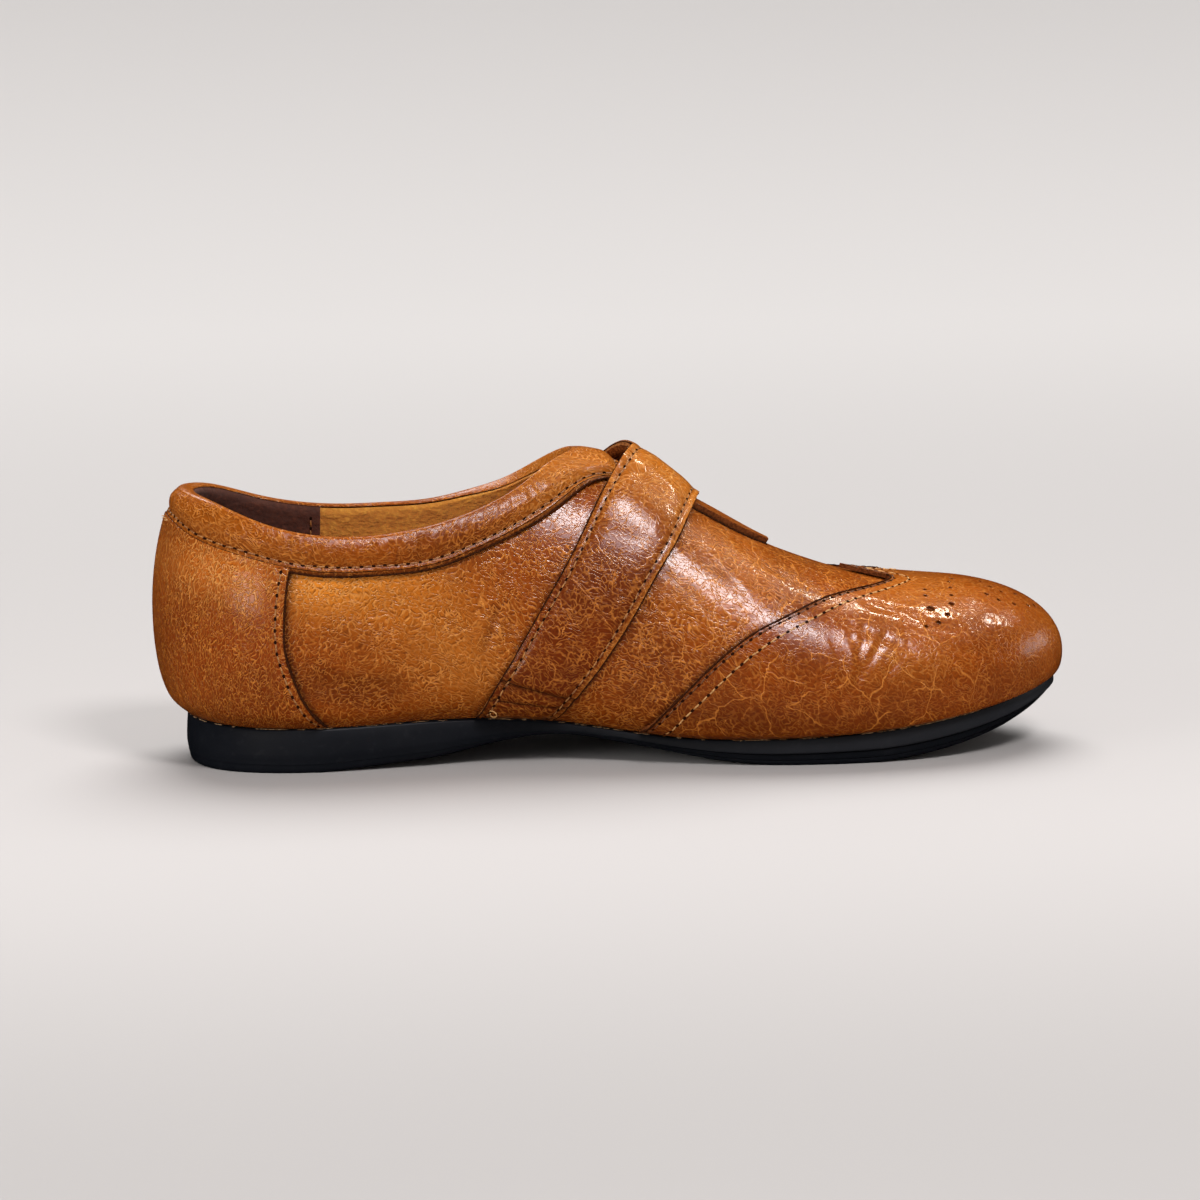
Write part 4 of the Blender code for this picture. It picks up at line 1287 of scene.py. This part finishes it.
class Strands:
    """Gathers round strands and flat holes into one mesh, with a material for either."""

    def __init__(self):
        self.points, self.faces, self.materials = [], [], []
        self.count = 0

    def gather(self, points, faces, material):
        self.points.append(points)
        self.faces += [tuple(self.count + corner for corner in face) for face in faces]
        self.materials += [material] * len(faces)
        self.count += len(points)

    def strand(self, line, radii):
        along = unit(np.gradient(line, axis=0))
        across = unit(np.cross(along, ASKEW))
        upward = np.cross(along, across)
        turn = np.linspace(0, 2 * np.pi, STRAND_SIDES, endpoint=False)[:, None]
        circle = across[:, None] * np.cos(turn) + upward[:, None] * np.sin(turn)
        tube = line[:, None] + np.asarray(radii)[:, None, None] * circle
        faces = []
        for ring in range(len(line) - 1):
            for k in range(STRAND_SIDES):
                a, b = ring * STRAND_SIDES + k, ring * STRAND_SIDES + (k + 1) % STRAND_SIDES
                faces.append((a, b, b + STRAND_SIDES, a + STRAND_SIDES))
        faces.append(tuple(range(STRAND_SIDES))[::-1])
        faces.append(tuple((len(line) - 1) * STRAND_SIDES + k for k in range(STRAND_SIDES)))
        self.gather(tube.reshape(-1, 3), faces, STRAND_MATERIAL)

    def hole(self, place, normal, forward):
        """Painted shade of a needle hole: a dark disc, longer than wide, just over the leather and a little
        dished.
        """
        across = np.cross(normal, forward)
        turn = np.linspace(0, 2 * np.pi, HOLE_SIDES, endpoint=False)[:, None]
        oval = 1.2 * np.cos(turn) * forward + 0.85 * np.sin(turn) * across
        rim = place + 0.05 * normal + HOLE_RADIUS * oval
        faces = [(k, (k + 1) % HOLE_SIDES, HOLE_SIDES) for k in range(HOLE_SIDES)]
        self.gather(np.concatenate([rim, [place + 0.02 * normal]]), faces, HOLE_MATERIAL)

    def build(self, name, materials):
        mesh = bpy.data.meshes.new(name)
        mesh.from_pydata(to_frame(np.concatenate(self.points)).tolist(), [], self.faces)
        mesh.polygons.foreach_set("material_index", self.materials)
        mesh.shade_smooth()
        return add_piece(name, mesh, materials)


def sew(strands, host, line):
    """Row of stitches along a line on a piece: thread from hole to hole, and dark discs painted as the shade
    of the needle holes.
    """
    holes, normals = snapped(resampled(line, STITCH_PITCH), surface_of(host))
    steps = np.diff(holes, axis=0)
    along = np.linspace(0, 1, 8)[:, None]
    bow = 1 - np.abs(2 * along - 1) ** 3
    radii = THREAD_RADIUS * (0.55 + 0.45 * bow[:, 0])
    for start, step, normal in zip(holes, steps, unit(normals[:-1] + normals[1:])):
        across = unit(np.cross(step, normal))
        lean = rng.uniform(-STITCH_LEAN, STITCH_LEAN)
        stitch = start + step * (0.12 + 0.76 * along) + normal * (STITCH_RISE * bow - STITCH_SINK)
        strands.strand(stitch + across * lean * (2 * along - 1), radii)
    for place, normal, step in zip(holes, normals, np.concatenate([steps, steps[-1:]])):
        strands.hole(place, normal, unit(step - normal * (step @ normal)))


# Punched toe pattern on one half: place in plan, from the heel and from the middle line, and hole diameter
MEDALLION = table(
    "x off size",
    [
        (216.5, 15.6, 1.0), (215.8, 19.0, 1.0), (216.0, 24.5, 2.2), (213.4, 30.0, 1.1),
        (217.3, 28.6, 1.4), (220.6, 25.7, 1.4), (222.8, 21.5, 1.6), (223.8, 17.5, 1.0),
        (224.5, 13.1, 0.9), (225.3, 8.8, 0.9), (227.0, 5.5, 0.9), (235.0, 13.9, 1.2), (237.6, 8.0, 1.0),
        (235.6, 4.7, 0.9), (238.2, 15.2, 1.1), (240.4, 9.8, 1.0), (245.3, 7.4, 1.2), (243.0, 14.5, 1.2),
        (248.0, 11.4, 1.1), (250.6, 8.8, 1.1), (242.4, 0.4, 1.0), (248.7, 0.3, 1.0),
    ],
)
MIDDLE_Y = -4.0
PUNCH_FROM_Z, PUNCH_DEPTH, PUNCH_SIDES = 90.0, 1.7, 14


def punch(obj):
    """Cuts the toe pattern through a piece."""
    tree = surface_of(obj)
    work = bmesh.new()
    for side in SIDES:
        for x, off, size in zip(*MEDALLION.values()):
            above = to_frame(np.array([x, MIDDLE_Y + side * off, PUNCH_FROM_Z]))
            place, normal, _, _ = tree.ray_cast(Vector(above), Vector((0, 0, -1)))
            turn = normal.to_track_quat("Z", "Y").to_matrix().to_4x4()
            turn.translation = place
            radii = {"radius1": size / 2 * MM, "radius2": size / 2 * MM}
            shape = {"cap_ends": True, "segments": PUNCH_SIDES, "depth": PUNCH_DEPTH * MM, **radii}
            bmesh.ops.create_cone(work, matrix=turn, **shape)
    mesh = bpy.data.meshes.new("punches")
    work.to_mesh(mesh)
    work.free()
    cutter = add_object("punches", mesh)
    cut = obj.modifiers.new("punch", "BOOLEAN")
    cut.object = cutter
    cut.solver = "EXACT"
    cut.use_self = True
    apply_modifiers(obj)
    bpy.data.objects.remove(cutter)
    obj.data.set_sharp_from_angle(angle=SHARP_ANGLE)


heel_lining_patch = lining_patch(HEEL_X, HEEL_LINING_X, HEEL_LINING_LIFT, HEEL_SINK)
quarter_lining_patch = lining_patch(
    HEEL_LINING_X - LINING_OVERLAP, LINING_FRONT_X, QUARTER_LINING_LIFT, QUARTER_SINK
)

add_outsole()
add_insole()
upper = add_sheet("upper_leather", upper_patch, WALL, [upper_leather, lining_suede, tan_edge], "upper")
toe_cap = add_sheet("toe_cap_leather", toe_cap_patch, OVERLAY, [toe_leather, tan_edge, brown_edge], "toe_cap")
counter = add_sheet(
    "heel_counter_leather",
    heel_counter_patch, OVERLAY, [counter_leather, tan_edge, dark_edge], "heel_counter",
)
band = add_sheet(
    "collar_band_padded", collar_band_patch, BAND_LEATHER, [band_leather, tan_edge, dark_edge], "collar_band"
)
strap = add_sheet("strap_leather", strap_patch, STRAP_THICKNESS, [strap_leather, tan_edge, tan_edge], "strap")
add_sheet(
    "tongue_tab_leather", tongue_tab_patch, TAB_DEPTH, [tab_leather, tan_edge, brown_edge], "tongue_tab"
)
heel_lining = add_sheet("heel_lining", heel_lining_patch, HEEL_LINING, [heel_suede] * 3)
add_sheet("quarter_lining", quarter_lining_patch, QUARTER_LINING, [lining_suede] * 3)
punch(toe_cap)


CUT_EDGE_HEIGHT = 0.6
COUNTER_SEAM, LINING_SEAM = 2.5, 2.8
WING_EDGE_SEAM, WING_INNER_SEAM = 1.5, 6.2


def both_ways(line_of, *where):
    """A line of one kind on either side."""
    return [line_of(side, *where) for side in SIDES]


def counter_line(side, share, inward):
    """Line behind the counter's front edge, at shares of its height."""
    u = station(counter_x(share) - inward)
    t = FOOT_T + share * (band_t(u, side) - FOOT_T)
    return lifted(u, t, side, np.full(u.shape, COUNTER_FACE))


def band_line(side, height):
    """Line along the collar band at a height over its lower edge."""
    lines = collar_band_lines(side)
    width = np.linalg.norm(on_band(lines, 1, side, 0) - on_band(lines, 0, side, 0), axis=-1)
    return on_band(lines, 1 - height / width, side, BAND_FACE)


def band_edge(side):
    _, _, low_u, low_t = collar_band_lines(side)
    return lifted(low_u, low_t, side, np.full(low_u.shape, OVERLAY_GAP + CUT_EDGE_HEIGHT))


def strap_line(side, t, across, sink=0.0):
    """Line on the strap, at shares of the way from its rear to its front edge."""
    u, lift = strap_place(t, across, side)
    return lifted(u, t, side, lift - sink)


def strap_seam(side, front):
    """Line a seam's width from the strap's rear or front edge."""
    t = np.linspace(0.03, 1, 160)
    rear_edge, front_edge = (last_point(strap_place(t, across, side)[0], t, side) for across in (0.0, 1.0))
    share = STRAP_SEAM / np.linalg.norm(front_edge - rear_edge, axis=-1)
    return strap_line(side, t, 1 - share if front else share)


def strap_fold(side, first_t, slope):
    """Line across the strap's doubled foot."""
    across = np.linspace(0.0, 1.0, 40)
    return strap_line(side, first_t + slope * across, across)


def wing_line(side, t, inward):
    """Line along the wing, that far from its edge."""
    return line_on_shoe(wing_x(t) + inward, t, side, WING_FACE)


def lining_seam(side):
    """Line down the heel lining behind its front edge."""
    x = HEEL_LINING_X - LINING_SEAM
    t = np.linspace(0.3, 0.985, 30) * collar_t(station(x), side)
    return line_on_shoe(np.full(30, x), t, side, -WALL - 1.2)


def tab_edge(side):
    """Line on the vamp beside the tab, from under the strap to the tab's end, where a painted shadow of the
    tab runs.
    """
    x = np.linspace(STRAP["front"][-1] - 8, TAB["x"][-1], 60)
    t = 1 - spline(TAB["x"], TAB["half_t"], x)
    return line_on_shoe(x, t - TAB_SHADOW_T, side)


def add_stitches():
    """All seams, as one mesh for each row that is sewn."""
    counter_share = np.linspace(0.02, 0.99, 60)
    wing_t = np.linspace(0.03, 0.995, 120)
    for name, host, thread_kind, lines in (
        ("counter_stitches", counter, tan_thread, both_ways(counter_line, counter_share, COUNTER_SEAM)),
        ("band_stitches", band, tan_thread, both_ways(band_line, BAND_SEAM)),
        ("strap_stitches", strap, tan_thread, both_ways(strap_seam, False) + both_ways(strap_seam, True)),
        ("wing_edge_stitches", toe_cap, dark_thread, both_ways(wing_line, wing_t, WING_EDGE_SEAM)),
        ("wing_stitches", toe_cap, pale_thread, both_ways(wing_line, wing_t, WING_INNER_SEAM)),
        ("lining_stitches", heel_lining, tan_thread, both_ways(lining_seam)),
    ):
        strands = Strands()
        for line in lines:
            sew(strands, host, line)
        strands.build(name, [thread_kind, needle_hole_shade])


EDGE_LINE_PITCH = 0.8


def add_edge_lines():
    """Fine dark lines: dye and dirt on the cut edges, painted shade in the folds of the strap's foot and on
    the vamp under the tab's edge.
    """
    strands = Strands()
    counter_share = np.linspace(0, 1, 80)
    wing_t = np.linspace(0.015, 0.93, 240)
    strap_t = np.linspace(0.02, 1, 200)
    for host, radius, lines in (
        (counter, 0.36, both_ways(counter_line, counter_share, 0.15)),
        (band, 0.4, both_ways(band_edge)),
        (band, 0.14, both_ways(band_line, BAND_LINE)),
        (toe_cap, 0.36, both_ways(wing_line, wing_t, 0.25)),
        (strap, 0.26, both_ways(strap_line, strap_t, 0.0, CUT_EDGE_HEIGHT)),
        (strap, 0.26, both_ways(strap_line, strap_t, 1.0, CUT_EDGE_HEIGHT)),
        # painted shadow on the vamp under the tab's edge
        (upper, 0.5, both_ways(tab_edge)),
        # painted shade in the folds of the strap's foot
        (strap, 0.16, both_ways(strap_fold, STRAP_BASE_T, STRAP_BASE_SLOPE)),
        (strap, 0.13, both_ways(strap_fold, STRAP_SECOND_T, STRAP_SECOND_SLOPE)),
    ):
        tree = surface_of(host)
        for line in lines:
            places, _ = snapped(resampled(line, EDGE_LINE_PITCH), tree)
            strands.strand(places, radius * rng.uniform(0.6, 1.1, len(places)))
    strands.build("edge_lines", [dark_edge])


JOINT_OUT, JOINT_DROP = 0.55, 0.12
BIT_TAPER = np.array([0.5, 1, 0.8, 1, 0.4])
TOE_JOINT, TOE_BIT_GAP, BIT_GAP = 0.7, 0.8, 2.6  # the bits lie closer along the toe


def add_joint_bits():
    """Broken pale line of glue and fibre where the leather meets the sole."""
    strands = Strands()
    for side in SIDES:
        u = np.linspace(0.02, 0.998, 700)
        line = feather_offset(u, side, np.full(len(u), JOINT_OUT))
        line[:, 2] -= JOINT_DROP
        length = run_length(line)
        at = 0.0
        while at < length[-1] - 4:
            size = rng.exponential(1.6) + 0.5
            spots = np.linspace(at, at + size, len(BIT_TAPER))
            bit = np.stack([np.interp(spots, length, line[:, k]) for k in range(3)], -1)
            bit = bit + rng.normal(0, 0.07, bit.shape)
            strands.strand(bit, rng.uniform(0.08, 0.17) * BIT_TAPER)
            at += size + rng.exponential(TOE_BIT_GAP if at > TOE_JOINT * length[-1] else BIT_GAP)
    strands.build("joint_bits", [glue])


LOOSE_END_T, LOOSE_END_ACROSS = 0.065, 0.13
FRAY_LENGTH, FRAY_RADII = 1.3, np.array([0.2, 0.18, 0.15, 0.08])
FRAY_BOW = np.array([0, 0.2, 0.25, 0.1])[:, None] * np.array([0, 0.6, 0.8])


def add_loose_ends():
    """Curl of thread at the strap's foot and a few frayed ends at the back of the collar band."""
    strands = Strands()
    spot = strap_line(INNER_SIDE, LOOSE_END_T, LOOSE_END_ACROSS)
    middle, normal = snapped(spot[None], surface_of(strap))
    right = unit(np.cross(normal[0], (0, 0, 1.0)))
    above = np.cross(right, normal[0])
    s = np.linspace(0, 1, 22)
    angle = 1.2 + 5.6 * s
    reach = 1.5 - 0.9 * s
    curl = middle + reach[:, None] * (np.cos(angle)[:, None] * right + np.sin(angle)[:, None] * above)
    strands.strand(curl + normal * (0.15 + 0.35 * np.sin(np.pi * s))[:, None], np.full(22, 0.17))
    for start in band_edge(INNER_SIDE)[[0, 2, 5, 7]]:
        way = np.array([-1.0, rng.uniform(-0.4, 0.4), rng.uniform(-0.2, 0.5)])
        fray = start + np.linspace(0, FRAY_LENGTH, len(FRAY_RADII))[:, None] * way
        strands.strand(fray + FRAY_BOW, FRAY_RADII)
    strands.build("loose_ends", [pale_thread])


add_stitches()
add_loose_ends()
add_edge_lines()
add_joint_bits()

# Studio: a wide pale floor with painted light, darker in front and lighter far behind; even light from above;
# and soft boxes that show in the glaze
FLOOR_FLAT, FLOOR_RADIUS, FLOOR_BEND = 1.6, 6.0, 45.0
# Floor colours in front, near the shoe and far behind: a painted fall of light across the floor
FLOOR_FRONT, FLOOR_NEAR, FLOOR_FAR = (0.36, 0.345, 0.337), (0.485, 0.465, 0.456), (0.66, 0.637, 0.625)
FRONT_FADE_Y, FAR_FADE_Y = (-380, -90), (0, 1500)


def add_floor():
    """Round pale floor, flat about the shoe and rising softly far from it, with painted light: darker in
    front of the shoe and lighter far behind it.
    """
    turns = np.linspace(0, 2 * np.pi, 97)
    radii = np.concatenate([[0, 0.3, 1], np.linspace(FLOOR_FLAT, FLOOR_RADIUS, 30)])[:, None]
    height = np.maximum(radii - FLOOR_FLAT, 0) ** 3 / FLOOR_BEND
    grid = np.stack([radii * np.cos(turns), radii * np.sin(turns), height + 0 * turns], -1)
    mesh = mesh_from_grids("floor", [(grid / MM + ORIGIN, False, {})])
    floor = add_object("floor", mesh)
    floor.visible_glossy = False
    s = Shader("floor_paper")
    behind = s.node("ShaderNodeSeparateXYZ", {0: s.mm}, 1)
    near = s.mix(s.between(behind, *FRONT_FADE_Y), FLOOR_FRONT, FLOOR_NEAR)
    colour = s.mix(s.between(behind, *FAR_FADE_Y), near, FLOOR_FAR)
    mesh.materials.append(s.finish(colour, 0.9, specular=0.05))


LIGHT_TARGET = Vector((0, 0, 0.04))


def aimed(name, data, azimuth, elevation, distance):
    """Light that looks at the shoe; azimuth 0 is the camera's side, 90 the toe's."""
    a, e = np.radians([azimuth, elevation])
    way = Vector((np.sin(a) * np.cos(e), -np.cos(a) * np.cos(e), np.sin(e)))
    obj = add_object(name, data)
    obj.location = LIGHT_TARGET + way * distance
    obj.rotation_euler = way.to_track_quat("Z", "Y").to_euler()
    return obj


BOX_DISTANCE, FILL_DISTANCE, SUN_DISTANCE = 1.1, 1.2, 2.0


def add_soft_box(name, azimuth, elevation, size, power, colour=(1, 1, 1), kind="both"):
    """Soft box; one for sheen shows only in glossy surfaces, and one for fill shows in none."""
    lamp = bpy.data.lights.new(name, "AREA")
    lamp.shape = "RECTANGLE"
    lamp.size, lamp.size_y = size
    lamp.energy = power
    lamp.color = colour
    box = aimed(name, lamp, azimuth, elevation, FILL_DISTANCE if kind == "fill" else BOX_DISTANCE)
    box.visible_diffuse = kind != "sheen"
    box.visible_glossy = kind != "fill"


def add_overhead(azimuth, elevation, strength, spread):
    """Even light from a broad patch of the ceiling."""
    lamp = bpy.data.lights.new("overhead", "SUN")
    lamp.energy = strength
    lamp.angle = np.radians(spread)
    aimed("overhead", lamp, azimuth, elevation, SUN_DISTANCE).visible_glossy = False


CAMERA_PLACE = Vector((-0.1580, -0.9747, 0.2036))
CAMERA_TARGET = Vector((-0.00357, 0.0, 0.04201))
FRAME_WIDTH = 0.34194


def add_camera():
    lens = bpy.data.cameras.new("camera")
    lens.sensor_width = 36.0
    lens.lens = lens.sensor_width * (CAMERA_TARGET - CAMERA_PLACE).length / FRAME_WIDTH
    lens.clip_start, lens.clip_end = 0.05, 50
    camera = add_object("camera", lens)
    camera.location = CAMERA_PLACE
    camera.rotation_euler = (CAMERA_TARGET - CAMERA_PLACE).to_track_quat("-Z", "Y").to_euler()
    bpy.context.scene.camera = camera


add_floor()
add_soft_box("key", 20, 50, (0.30, 0.26), 6.2, (1.0, 0.97, 0.97))
add_soft_box("key_sheen", 16, 47, (0.62, 0.40), 6.2, (0.99, 0.93, 1.0), "sheen")
add_soft_box("high_glint", 111, 59, (0.13, 0.08), 2.3, (1.0, 0.90, 0.72), "sheen")
add_soft_box("low_glint", 96, 44, (0.11, 0.08), 1.8, (1.0, 0.92, 0.78), "sheen")
add_soft_box("toe_sheen", 92, 12, (0.50, 0.24), 1.1, kind="sheen")
add_soft_box("side_sheen", -32, 4, (0.30, 0.18), 1.3, (1.0, 0.90, 0.76), "sheen")
add_soft_box("far_sheen", 200, 42, (0.50, 0.30), 4.0, kind="sheen")
add_soft_box("fill", -68, 14, (0.7, 0.35), 5.0, kind="fill")
add_overhead(168, 60, 3.3, 46)
world = bpy.data.worlds.new("studio")
world.use_nodes = True
background = world.node_tree.nodes["Background"]
background.inputs["Color"].default_value = (1.0, 0.97, 0.955, 1)
background.inputs["Strength"].default_value = 0.27
bpy.context.scene.world = world
world.cycles_visibility.glossy = False
bpy.context.scene.view_settings.view_transform = "Standard"
add_camera()
